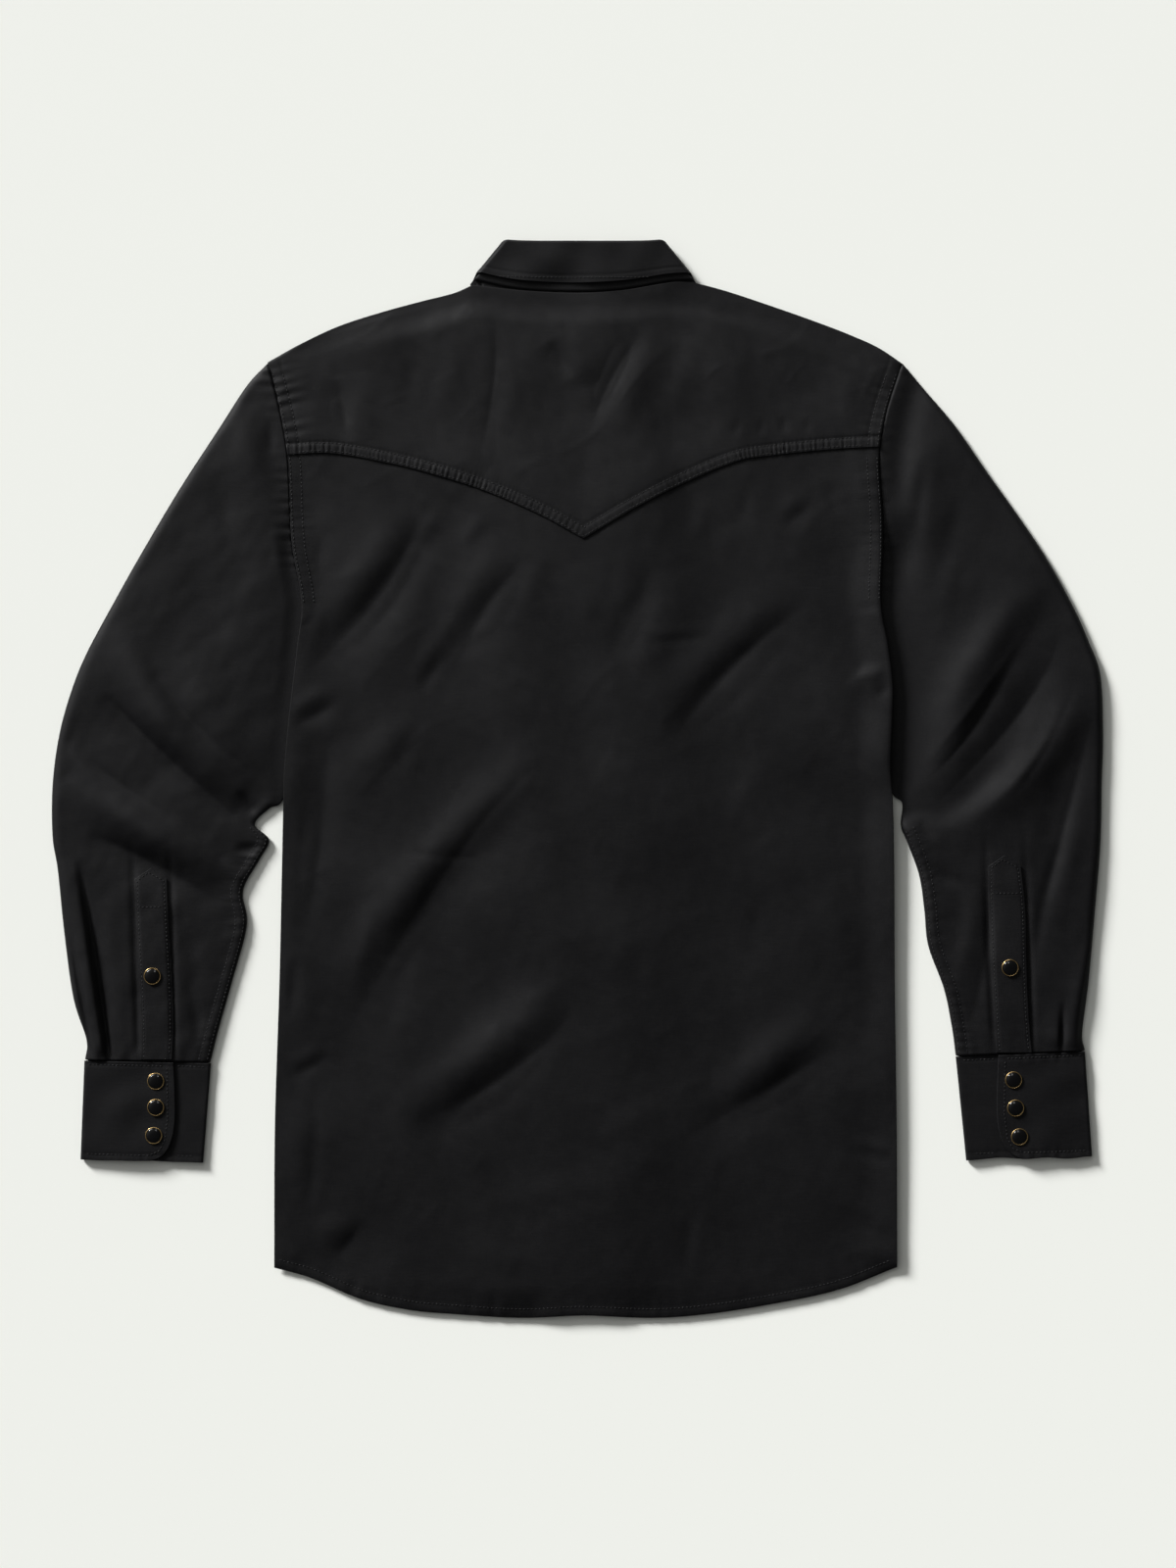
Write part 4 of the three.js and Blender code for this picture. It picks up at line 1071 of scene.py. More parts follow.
BACK_CREASES = [
    [-16, 19, -88, -53, -186, -211, 4.5, -1.1, 0, 1.3],
    [2, -167, -48, -222, -140, -272, 4.5, -1, 0, 1.3],
    [207, -202, 143, -239, 80, -278, 4.5, -0.9, 0, 1.3],
    [-119, 206, -150, 143, -211, 78, 4, -1.2, 0, 1.2], [-37, 172, -67, 134, -91, 90, 4, -0.9, 0, 1.3],
    [179, 136, 120, 86, 71, 26, 4, -1.1, 0, 1.2], [57, 166, 45, 131, 24, 90, 5, -0.8],
    [-103, 94, -112, 80, -121, 67, 4, -0.8], [-85, 139, -111, 97, -132, 78, 6, 0.9],
    [-140, -52, -108, -59, -68, -60, 2.6, -0.7, 0, 1.4],
    [-180, 61, -200, 49, -220, 40, 5, -1.6, 0, 1.5], [-184, 74, -204, 60, -222, 52, 6, 1.2],
    [-121, 45, -135, 19, -156, -7, 7, -1.3], [-192, 40, -197, -50, -211, -133, 5, -1.2, 0, 1.5],
    [-211, -133, -218, -160, -218, -183, 5, -1.4],
    [-190, -211, -205, -221, -223, -229, 4, -1.1, 0, 1.4], [-192, -203, -206, -212, -222, -219, 5, 0.9],
    [-199, -236, -202, -289, -206, -339, 5, -1.1],
    [-163, -339, -175, -355, -186, -369, 4, -1.3, 0, 1.4],
    [52, 105, 77, 106, 104, 109, 3, -0.7, 0, 1.4], [54, 112, 78, 113, 102, 116, 4, 0.5],
    [207, 78, 224, 80, 239, 85, 4, 1.1], [242, 74, 236, 68, 229, 62, 3, -1.1],
    [209, -282, 226, -289, 242, -293, 4, -0.9], [211, -276, 228, -282, 243, -286, 4, 0.7],
    [202, -328, 222, -343, 242, -358, 5, -1, 0, 1.5], [206, -320, 226, -334, 243, -348, 6, 0.9],
    [205, -368, 212, -370, 221, -371, 4, -0.6], [90, -328, 86, -355, 82, -380, 5, -0.8],
    [96, -326, 92, -354, 89, -382, 6, 0.7], [50, -124, 46, -143, 38, -165, 7, -0.8],
    [136, -79, 137, -113, 134, -146, 8, -0.7], [182, 211, 169, 202, 156, 190, 5, -1.1, 0, 1.5],
    [178, 220, 164, 210, 150, 199, 6, 0.9], [194, 229, 197, 214, 203, 199, 5, -0.9],
    [-197, 191, -198, 174, -199, 157, 5, -1], [-72, 205, -80, 190, -92, 176, 5, 0.9],
    [-100, 214, -112, 196, -122, 178, 5, 0.9], [-20, 178, -34, 150, -42, 118, 6, 0.8],
    [24, 186, 28, 160, 26, 130, 6, -0.6], [100, 222, 96, 200, 84, 176, 6, 0.8],
    [130, 232, 128, 208, 118, 190, 5, -0.8], [-150, -90, -164, -130, -168, -170, 6, 0.9],
    [-120, -120, -138, -160, -150, -205, 7, -0.8], [70, -240, 40, -262, 0, -276, 8, 0.8],
    [20, -300, -30, -318, -90, -326, 9, 0.7], [180, -90, 200, -120, 214, -160, 8, 0.7],
    [-90, -356, -60, -366, -20, -370, 8, 0.6], [150, 20, 130, -10, 122, -50, 9, 0.7],
    [-64, 345, -64, 302, -76, 238, 2.4, -0.55, 0, 1.4], [50, 342, 25, 304, 11, 266, 3.6, -1, 0, 1.3],
    [-22, 335, -12, 320, -4, 306, 3.4, -0.8, 0, 1.4],
    [-184, 306, -180, 283, -175, 257, 3.6, -0.8, 0, 1.4], [45, 361, 114, 356, 191, 334, 6, -0.9],
    [-59, 370, -126, 350, -191, 330, 6, -0.8], [120, 262, 122, 268, 123, 276, 3, -0.5],
    [140, 262, 141, 269, 141, 278, 3, -0.5], [158, 263, 158, 270, 157, 278, 3, -0.5],
    [176, 264, 176, 270, 174, 277, 3, -0.45], [-120, 336, -128, 306, -126, 272, 7, -0.7],
    [130, 330, 136, 304, 130, 282, 8, -0.7], [90, 340, 82, 306, 66, 270, 8, 0.8],
    [-90, 340, -98, 300, -110, 262, 8, 0.8], [200, 320, 206, 296, 204, 268, 7, 0.8],
    [4, 262, 5, 240, 5, 214, 6, -0.6],
]


class BackDrape:
    """How the back lies over the fronts: its rolls, folds, creases and puckered seams."""

    DEEPEST = 0.7
    STANDING = 2.2
    LOWEST = 0.75

    def __init__(self) -> None:
        """Lay out the folds and the seams."""
        self.folds = FoldField(BACK_FOLDS)
        self.creases = FoldField(BACK_CREASES, 1.2, 0.85)
        self.broad = SoftNoise(11, 95, 1.5, -48)
        self.middle = SoftNoise(12, 38, 1.8, -52)
        self.fine = SoftNoise(13, 13, 1.6, -50)
        self.crumple = SoftNoise(14, 74, 1.8, 38)
        x = np.linspace(-222, 232, 120)
        y = np.linspace(318, 128, 60)
        hem_x = np.linspace(-232, 245, 90)
        sewn = (
            (x, Pattern.yoke_seam(x), 21, 3.3, Band(1, 8, 0.3, 0.45, 0, 0.42, 4.2, 0)),
            (Pattern.left(y), y, 22, 8, Band(1, 9.5, 0.2, 0.3, 0, 0.14, 8)),
            (Pattern.right(y), y, 23, 8, Band(-1, 9.5, 0.2, 0.3, 0, 0.14, 8)),
            (hem_x, Pattern.hem(hem_x), 24, 10, Band(1, 7, 0.2, 0.3, 0, 0.12, 6)),
        )
        self.seams = [(Seam(np.stack([a, b], axis=1), seed, wave), band) for a, b, seed, wave, band in sewn]

    @staticmethod
    def rim(at: Edges) -> Array:
        """Find the height of the underside along the edge that is nearest.

        Args:
            at: Places on the back.

        Returns:
            The edge's height.
        """
        left_rim, right_rim = BODY_SIDES.at("leftRim", at.y), BODY_SIDES.at("rightRim", at.y)
        side_rim = np.where(at.left < at.right, left_rim, right_rim)
        hem_rim = Pattern.SEAM_LIFT + 1.3 * FRONT_RISE.at(at.x, at.y, at.over)
        from_top = ease(at.top, 0, Pattern.SETTLE)
        at_sides = mix(SHOULDERS.at("rim", at.x), side_rim, from_top)
        return mix(hem_rim, at_sides, ease(at.hem - at.side, -10, 10))

    def under(self, at: Edges) -> Array:
        """Find the height of the cloth's main form, which the solid has too.

        Args:
            at: Places on the back.

        Returns:
            The height of its underside.
        """
        raised = np.maximum(BACK_RISE.at(at.x, at.y, at.over), FRONT_RISE.at(at.x, at.y, at.over))
        neck_rim = SHOULDERS.at("rim", at.x) * (1 - ease(at.top, 0, Pattern.SETTLE))
        inside = np.maximum(Pattern.CLOTH + 1.9 + 1.1 * raised, neck_rim)
        settled = mix(self.rim(at), inside, ease(at.nearest, 0, Pattern.SETTLE))
        rolls = np.minimum(roll(at.side, 9, 1.1), roll(at.top, 9, 2.8)) + roll(at.hem, 6, 0.6)
        folds = self.folds.at(at.x, at.y) * ease(at.nearest, 2, 18)
        return np.maximum(settled + rolls + folds, settled - self.DEEPEST)

    def top(self, at: Edges) -> Array:
        """Find the height of the cloth's upper face, with all of its finer form.

        Args:
            at: Places on the back.

        Returns:
            The height of its upper face.
        """
        height = self.under(at) + Pattern.CLOTH
        height = height + self.creases.at(at.x, at.y) * ease(at.nearest, 0, 10)
        middle = self.middle.at(at.x, at.y)
        calm = 0.25 + 0.75 * ease(at.nearest, 0, 22)
        crumple = np.maximum(0, 0.55 - np.abs(self.crumple.at(at.x, at.y))) * ease(middle, -0.6, 1.2)
        waves = (0.7 * self.broad.at(at.x, at.y) + 0.2 * middle) * calm
        waves = waves + 0.05 * self.fine.at(at.x, at.y) + 0.3 * crumple
        height = height + waves * ease(at.nearest, 0, 6)
        for seam, band in self.seams:
            height = height + seam.relief(at.x, at.y, band)
        beside = (1 - ease(at.right, 1.5, 30)) * ease(at.right, -1.5, 1.5)
        beside_sleeve = ease(at.y, -20, 25) * (1 - ease(at.y, 215, 290))
        return np.maximum(height + self.STANDING * beside * beside_sleeve, self.LOWEST)


@dataclass
class Back:
    """The back body and the pointed yoke that laps over it."""

    drape: BackDrape
    finishes: Finishes
    columns: int = 188
    yoke_columns: int = 400
    body_rows: int = 240
    yoke_rows: int = 90
    thickness: float = 0.5
    yoke_step: float = 0.85
    allowance_top: float = 5.05
    body_flat: tuple = (0.5, 0.68)
    body_area: float = 0.3
    yoke_flat: tuple = (0.5, 0.2)
    yoke_area: float = 0.065

    def build(self) -> dict[str, Probe]:
        """Make both pieces.

        Returns:
            The upper face of each.
        """
        edges = [0.0, 0.0012, 0.0032]
        share = crowded(self.columns, edges)[:, None]
        rise = crowded(self.body_rows, [0.0, 0.001, 0.003])[None, :]
        at = Edges(*Pattern.place(share, Pattern.hem, Pattern.yoke_lap, rise))
        body = self._piece("back_body", at, 0, flat=self.body_flat, area=self.body_area, with_pieces=[])
        share = crowded(self.yoke_columns, edges)[:, None]
        rise = crowded(self.yoke_rows, [0.0, 0.004, 0.01])[None, :]
        at = Edges(*Pattern.place(share, Pattern.yoke_seam, Pattern.shoulder, rise))
        lapped = self.yoke_step * (1 - ease(at.y - Pattern.yoke_lap(at.x), 2, 40))
        tucked = [self._neck_allowance()]
        yoke = self._piece(
            "back_yoke", at, lapped, flat=self.yoke_flat, area=self.yoke_area, with_pieces=tucked
        )
        return {"body": body, "yoke": yoke}

    def _piece(self, node: str, at: Edges, lift: Array | float, **cut: object) -> Probe:
        """Args:
            node: The solid that it replaces.
            at: Its places.
            lift: How far it lies above the back's own height.
            **cut: The sheet that it is cut from.

        Returns:
            Its upper face.
        """
        outside = points_at(at.x, at.y, self.drape.top(at) + lift)
        mesh = shell(outside, outside - np.array([0, 0, self.thickness]))
        from_seam = np.abs(at.y - Pattern.yoke_seam(at.x))
        rub = np.exp(-np.maximum(np.minimum(at.hem, at.side), 0) / 2.5) + 0.7 * np.exp(-from_seam / 2)
        rests_on = ["front_left", "front_right"]
        cloth(node, mesh, rub, self.finishes, held="laid", rests_on=rests_on, **cut)
        return Probe(outside)

    def _neck_allowance(self) -> Object:
        """Make the yoke's seam allowance, which lies in under the collar stand.

        Returns:
            Its object.
        """
        x, rise = np.meshgrid(np.linspace(-73, 82, 80), np.linspace(-4, 4, 5), indexing="ij")
        outside = points_at(x, Pattern.shoulder(x) + rise, 0 * x + self.allowance_top)
        points, faces = shell(outside, outside - np.array([0, 0, self.thickness]))
        strip = make_mesh("neck_seam_allowance", points, faces, self.finishes.cotton)
        declare(strip)
        return strip


@dataclass
class Fronts:
    """The two fronts and the placket strip, face down under the back."""

    finishes: Finishes
    columns: int = 60
    rows: int = 130
    inset: float = 2.0
    thickness: float = 0.5
    meet: float = 0.15
    strip_thickness: float = 0.95
    sewn_in: float = 5.0
    flat: tuple = (0.29, 0.8)
    areas: tuple = (0.165, 0.19)

    def build(self) -> None:
        """Make the three pieces."""
        left_end = Pattern.CENTRE_X - Pattern.PLACKET_HALF_WIDTH
        self._front("front_left", -1, left_end - Pattern.SEAM_GAP, 0.0)
        self._front("front_right", 1, left_end + 3, Pattern.OVER_PLACKET)
        self._strip()

    def _side(self, side: int, y: Array) -> Array:
        """Find the outer edge of the left (-1) or the right (1) front."""
        tuck = BODY_SIDES.at("tuck", y) + self.inset
        return Pattern.left(y) + tuck if side < 0 else Pattern.right(y) - tuck

    def _top(self, x: Array) -> Array:
        """Find a front's upper edge: the shoulder, then the neckline."""
        in_neck = np.abs(x - Pattern.CENTRE_X) < Pattern.NECK_HALF_WIDTH + Pattern.NECK_EASE
        return np.where(in_neck, Pattern.front_neck(x), Pattern.shoulder(x)) - self.inset

    def _front(self, node: str, side: int, centre: float, over: float) -> None:
        """Make one front.

        Args:
            node: The solid that it replaces.
            side: -1 on the left and 1 on the right.
            centre: Where it ends at the centre front.
            over: How far it lies above the placket strip's underside.
        """
        share = crowded(self.columns, [0.0, 0.004, 0.01])[:, None]
        share = 2 * ease(share, -1, 1) - 1
        rise = crowded(self.rows, [0.0, 0.001, 0.003])[None, :]
        y = np.zeros((share.size, rise.size))
        x = y
        for _ in range(8):
            x = mix(self._side(side, y), centre, share)
            y = mix(Pattern.hem(x), self._top(x), rise)
        at = Edges(x, y)
        at_side = (1 - ease(at.side, 0, 24)) * (1 - ease(y, -62, -34))
        curl = (BackDrape.rim(at) + self.meet) * at_side
        low = np.maximum(curl, FRONT_RISE.at(x, y, Pattern.over_snaps(x, y) + over))
        lift = 0.22 * (1 + SoftNoise(31 + side, 42, 1.5, 70).at(x, y))
        low = low + np.clip(lift, 0, 0.6) * (1 - ease(low, 0, 0.8))
        outside = points_at(x, y, low)
        mesh = shell(outside, outside + np.array([0, 0, self.thickness]))
        area = self.areas[0 if side < 0 else 1]
        cloth(node, mesh, None, self.finishes, flat=self.flat, held="laid", area=area)

    def _strip(self) -> None:
        """Make the placket strip and its two rows of stitches."""
        left = Pattern.CENTRE_X - Pattern.PLACKET_HALF_WIDTH
        right = Pattern.CENTRE_X + Pattern.PLACKET_HALF_WIDTH
        share = crowded(14, [0.0, 0.02, 0.05])[:, None]
        rise = crowded(180, [0.0, 0.001, 0.002])[None, :]
        x = mix(left, right, share) + 0 * rise
        y = mix(Pattern.hem(x), Pattern.NECK_FRONT_Y - self.inset, rise)
        from_edge = np.minimum(x - left, right - x)
        groove = 0.18 * bell(from_edge - self.sewn_in, 1)
        raised = Pattern.over_snaps(x, y)
        outside = points_at(x, y, raised + groove)
        mesh = shell(outside, points_at(x, y, raised + self.strip_thickness))
        cut = {"flat": (0.06, 0.72), "held": "laid", "rests_on": ["front_left"], "area": 0.0245}
        cloth("front_placket", mesh, None, self.finishes, **cut)
        stitches = Stitching("stitches_front")
        for at in (left + self.sewn_in, right - self.sewn_in):
            y = np.linspace(-400, 296, 350)
            stitches.run(np.column_stack([0 * y + at, y, Pattern.over_snaps(0 * y + at, y) + 0.05]))
        stitches.finish(self.finishes)


@dataclass(frozen=True)
class SleevePlaces:
    """Places on a sleeve: how far along its sections, and from its outer edge to its inner one."""

    section: Array
    share: Array
    x: Array
    y: Array
    width: Array


@dataclass
class Sleeve:
    """A sleeve: a flattened tube, rolled at both edges and folded on top."""

    side: int
    finishes: Finishes
    sections: Table
    folds: FoldField
    creases: FoldField
    seed: int
    rings: int = 205
    top_steps: int = 74
    bottom_steps: int = 16
    cloth: float = 0.5
    edge_height: float = 1.9
    top_roll: float = 7.0
    bottom_roll: float = 4.0
    tucked: float = 2.6
    reach: float = 12.0
    allowance: float = 6.0
    seam_band: float = 9.0
    dip: float = 0.4
    section_length: float = 34.0
    cuff_section: int = 15
    cuff_section_length: float = 26.0
    rub_width: float = 2.5
    flat: tuple = (0.45, 0.62)
    area: float = 0.145
    broad: SoftNoise = field(init=False)
    middle: SoftNoise = field(init=False)
    fine: SoftNoise = field(init=False)
    ripple: Callable = field(init=False)

    EDGE_STEPS = (0.0, 0.5, 1.1, 2.0, 3.2, 4.8, 6.6, 8.6)

    def __post_init__(self) -> None:
        """Draw the sleeve's unevenness and the puckers of its seams."""
        self.broad = SoftNoise(self.seed, 70, 1.4, -45 * self.side)
        self.middle = SoftNoise(self.seed + 1, 30, 1.7, -50 * self.side)
        self.fine = SoftNoise(self.seed + 2, 12, 1.5, -45 * self.side)
        self.ripple = Seam(np.array([[0.0, 0.0], [600.0, 0.0]]), self.seed + 3, 7).ripple

    @property
    def name(self) -> str:
        """Name the sleeve by the wearer's side."""
        return "sleeve_left" if self.side < 0 else "sleeve_right"

    def edge_of_body(self, y: Array) -> Array:
        """Find the body's edge beside the sleeve."""
        return Pattern.left(y) if self.side < 0 else Pattern.right(y)

    def place(self, section: Array, share: Array) -> tuple[Array, Array]:
        """Find a place on the sleeve: share 0 is its outer edge.

        Args:
            section: How far along the table of sections.
            share: From the outer edge to the inner one.

        Returns:
            The places across and along.
        """
        row = self.sections
        x = mix(row.at("outerX", section), row.at("innerX", section), share)
        y = mix(row.at("outerY", section), row.at("innerY", section), share)
        first = {key: column[0] for key, column in row.columns.items()}
        chord_x = mix(first["outerX"], first["innerX"], share)
        chord_y = mix(first["outerY"], first["innerY"], share)
        armhole = self.edge_of_body(chord_y) + self.side * Pattern.ARMHOLE_GAP
        fade = np.maximum(0, 1 - section / 3) ** 2
        return x + (armhole - chord_x) * fade, y

    def height(self, at: SleevePlaces) -> Array:
        """Find the height of the upper face before its edges are rounded.

        Args:
            at: Places on the sleeve.

        Returns:
            The height.
        """
        x, y, row = at.x, at.y, self.sections
        loft = row.at("outerLoft", at.section), row.at("innerLoft", at.section)
        seams = ease(at.section, 0, 1.5) * (1 - ease(at.section, 14, 15))
        edges = ease(np.minimum(at.share, 1 - at.share) * at.width, 0, 10)
        waves = 0.3 * self.broad.at(x, y) + 0.14 * self.middle.at(x, y) + 0.05 * self.fine.at(x, y)
        detail = (self.creases.at(x, y) + waves) * (0.3 + 0.7 * seams) * (0.35 + 0.65 * edges)
        free = mix(*loft, ease(at.share, 0.55, 0.95)) + self.folds.at(x, y) * seams + detail
        outside = np.maximum(0, self.side * (x - self.edge_of_body(y)) - 2)
        held = np.minimum(free, mix(self.tucked, free, ease(outside, 0, self.reach)))
        under_back = ease(y, -40, -24) * (1 - ease(y, 165, 205))
        return mix(free, held, under_back) + self._sewn(at, outside)

    def _sewn(self, at: SleevePlaces, outside: Array) -> Array:
        """Shape the felled seam along the inner edge, and the puckers at both ends.

        Args:
            at: Places on the sleeve.
            outside: How far they are out from the body's edge.

        Returns:
            The added height.
        """
        inner = (1 - at.share) * at.width
        band = 0.3 * ease(inner, 0.5, 1.5) * (1 - ease(inner, 8.4, 9.8))
        groove = 0.35 * bell(inner - self.seam_band, 1.3)
        ripple = self.ripple(at.section * self.section_length) * bell(inner - 5, 9)
        felled = ease(at.section, 8.2, 9.2) * (band - groove + 0.16 * ripple)
        head = 0.25 * self.ripple(at.y * 1.1) * bell(outside, 9) * ease(at.y, 130, 160)
        from_cuff = (self.cuff_section - at.section) * self.cuff_section_length
        gathers = 0.16 * self.ripple(inner * 0.5 + 300) * bell(from_cuff, 18)
        return felled + head + gathers - self.dip * bell(outside - 15, 11) * ease(at.y, 120, 200)

    def build(self) -> Probe:
        """Make the sleeve and its stitches.

        Returns:
            Its upper face.
        """
        section = np.linspace(0, len(self.sections.along) - 1, self.rings)[:, None]
        ends = [self.place(section, np.array([[s]])) for s in (0.0, 1.0)]
        width = np.hypot(ends[0][0] - ends[1][0], ends[0][1] - ends[1][1])
        steps = np.array(self.EDGE_STEPS)[None, :] / width
        middle = np.linspace(0, 1, self.top_steps - 14)[None, 1:-1]
        start = steps[:, -1:]
        share = np.concatenate([steps, mix(start, 1 - start, middle), 1 - steps[:, ::-1]], axis=1)
        x, y = self.place(section, share)
        from_edge = np.minimum(share, 1 - share) * width
        height = self.height(SleevePlaces(section, share, x, y, width))
        top = mix(self.edge_height, height, self._rounded(from_edge, self.top_roll))
        bottom = self.edge_height * (1 - self._rounded(from_edge, self.bottom_roll))
        inner_share = self.cloth / width + share * (1 - 2 * self.cloth / width)
        ix, iy = self.place(section, inner_share)
        half = np.where(from_edge > 1e-6, np.maximum((top - bottom) / 2 - self.cloth, 0.1), 0)
        centre = (top + bottom) / 2
        wide = share.shape[1]
        middle = np.linspace(8, wide - 9, self.bottom_steps).astype(int)
        keep = np.unique([*range(1, 8), *middle, *range(wide - 8, wide - 1)])[::-1]
        outer = self._with_allowances(self._ring(x, y, top, bottom, keep))
        inner = self._with_allowances(self._ring(ix, iy, centre + half, centre - half, keep))
        rub = np.exp(-from_edge / self.rub_width)
        rub = np.concatenate([rub, rub[:, keep]], axis=1)[[0, 0, *range(self.rings), -1, -1]]
        cut = {"flat": self.flat, "held": "laid", "area": self.area}
        cloth(self.name, tube(outer, inner), rub, self.finishes, **cut)
        self._stitch(width, section)
        return Probe(points_at(x, y, top))

    def _with_allowances(self, rings: Array) -> Array:
        """Add the seam allowances: one lies in under the back, the other inside the cuff.

        Args:
            rings: The sleeve's points, by ring and place round it.

        Returns:
            The rings, with two more at each end.
        """
        highest = rings[[0, -1], :, 2].max(axis=1)
        head, wrist = rings[0], rings[-1]
        centre = wrist.mean(axis=0)
        added = []
        for away in (self.allowance, 0.9):
            ring = head - np.array([self.side * away, 0, 0])
            ring[:, 2] = 1.3 + 0.75 * head[:, 2] / highest[0]
            added.append(ring)
        for away in (0.9, self.allowance):
            ring = wrist - np.array([0, away, 0])
            ring[:, 0] = centre[0] + (wrist[:, 0] - centre[0]) * 0.945
            ring[:, 2] = 1.68 + 0.7 * wrist[:, 2] / highest[1]
            added.append(ring)
        return np.concatenate([np.stack(added[:2]), rings, np.stack(added[2:])])

    @staticmethod
    def _rounded(from_edge: Array, radius: float) -> Array:
        """Find how far an edge has rounded up to full height at a distance from it."""
        left = 1 - np.minimum(from_edge, radius) / radius
        return np.sqrt(1 - left**2)

    @staticmethod
    def _ring(x: Array, y: Array, top: Array, bottom: Array, keep: Array) -> Array:
        """Join the upper and the lower face into rings.

        Args:
            x: Places across.
            y: Places along.
            top: The upper height.
            bottom: The lower height.
            keep: The columns of the lower face, from the inner edge to the outer.

        Returns:
            The points, by ring and place round it.
        """
        upper = points_at(x, y, top)
        lower = np.stack([x[:, keep], y[:, keep], bottom[:, keep]], axis=-1)
        return np.concatenate([upper, lower], axis=1)

    def _stitch(self, width: Array, section: Array) -> None:
        """Sew the felled seam along the inner edge.

        Args:
            width: The sleeve's width at each ring.
            section: The rings' places along the table.
        """
        stitches = Stitching(f"stitches_{self.name}")
        for inset in (self.seam_band, 2.6):
            where = section[section[:, 0] > 8.4][:, 0]
            wide = np.interp(where, section[:, 0], width[:, 0])
            share = 1 - inset / wide
            x, y = self.place(where, share)
            z = self.height(SleevePlaces(where, share, x, y, wide))
            z = mix(self.edge_height, z, self._rounded(np.full(x.shape, inset), self.top_roll))
            stitches.run(np.stack([x, y, z], axis=1))
        stitches.finish(self.finishes)


SLEEVE_COLUMNS = "number outerX outerY innerX innerY outerLoft innerLoft"


def numbered(rows: Rows) -> Table:
    """Number the rows of a table of sleeve sections."""
    return Table(SLEEVE_COLUMNS, [[n, *row] for n, row in enumerate(rows)], "number")


LEFT_SLEEVE = numbered([
        [-237, 318, -210, 131, 5, 3.2], [-253, 301, -205, 116, 5.5, 3.2],
        [-274, 269, -206, 100, 6, 3.2], [-304, 223, -209, 71, 6, 3.2], [-332, 176, -212.5, 41, 6, 3.2],
        [-354, 137, -217, 11, 6, 3.2], [-376, 96, -226, -17, 6, 4], [-388, 66, -236, -23, 6, 4.6],
        [-397, 33, -247, -35, 6, 4.4], [-402, -5, -236, -47, 6, 4.4], [-402, -44, -244, -63, 6, 4.4],
        [-398, -70, -256, -86, 6, 4.4], [-393, -118, -253, -112, 6, 4.4],
        [-386, -168, -264, -154, 6, 4.4], [-376, -200, -275, -193, 6, 4.4],
        [-377, -215, -281, -217, 6, 4.4],
])
RIGHT_SLEEVE = numbered([
        [249, 318, 232.5, 133, 5, 3.2], [265, 299, 227, 116, 5.5, 3.2], [289, 271, 230, 97, 6, 3.2],
        [314, 235, 233, 71, 6, 3.2], [341, 197, 233, 41, 6.4, 3.2], [362, 165, 232, 10, 6.8, 3.2],
        [381, 130, 242, -12, 7, 4], [392, 105, 249, -19, 7, 6], [401, 79, 248, -36, 7, 6],
        [403, 33, 253, -49, 7, 6], [402, -3, 262, -74, 7, 6], [401, -49, 266, -101, 7, 6],
        [397, -98, 269, -128, 7, 6], [392, -154, 281, -161, 7, 6], [387, -194, 287, -190, 6.6, 5.5],
        [389, -208, 290, -212, 6, 5],
])
LEFT_SLEEVE_FOLDS = [
    [-355, 119, -314, 42, -254, -18, 16, 4.6], [-362, 62, -318, 14, -256, -34, 11, -2.2],
    [-388, 6, -336, -36, -264, -76, 16, 4.6], [-376, -46, -330, -66, -270, -98, 12, -1.8],
    [-254, 288, -250, 250, -232, 190, 14, 2], [-304, 96, -276, 40, -240, 4, 16, 2.4],
    [-380, -62, -366, -140, -357, -212, 7, -1.6],
]
LEFT_SLEEVE_CREASES = [
    [-341, -40, -338, -140, -334.5, -262, 2.4, -1.5], [-312, -40, -310, -140, -306.5, -262, 2.4, -1.3],
    [-336, 112, -304, 54, -242, 0, 4.5, -1.4, 0, 1.3],
    [-363, 67, -325, 28, -254, -36, 3.6, -1.5, 0, 1.2],
    [-376, 16, -352, -3, -305, -36, 4.5, -1.2, 0, 1.4],
    [-376, -44, -335, -59, -270, -98, 4.5, -1.3, 0, 1.4], [-235, 278, -234, 262, -234, 248, 4.5, -1.2],
    [-393, -110, -380, -182, -360, -290, 6, 2.6, -0.7], [-390, -110, -377, -182, -357, -290, 1.8, -2.4],
    [-386, -61, -370, -160, -346, -330, 7, 3.2, -0.7], [-382, -61, -366, -160, -342, -330, 2, -3],
    [-300, -150, -292, -180, -290, -212, 5, -1], [-310, -100, -296, -130, -286, -170, 7, -0.9],
    [-280, 240, -270, 200, -250, 150, 9, -1.2], [-310, 190, -286, 140, -258, 96, 10, -1],
    [-390, 30, -380, 10, -362, -10, 6, 1], [-258, -8, -250, -22, -240, -34, 5, -1.6, 0, 1.4],
    [-262, -52, -252, -54, -240, -52, 4, -1.4], [-272, -60, -262, -72, -252, -84, 5, 1.2],
]
RIGHT_SLEEVE_FOLDS = [
    [356, 154, 304, 86, 250, 2, 16, 5.2], [370, 122, 330, 38, 256, -36, 12, -2.6],
    [388, 76, 352, 14, 286, -48, 15, 4.8], [398, 60, 366, -30, 348, -110, 12, -2],
    [330, 110, 296, 52, 262, 2, 12, 2], [280, 268, 258, 220, 246, 160, 14, 2],
    [392, -150, 389, -182, 384, -206, 7, -1.6],
]
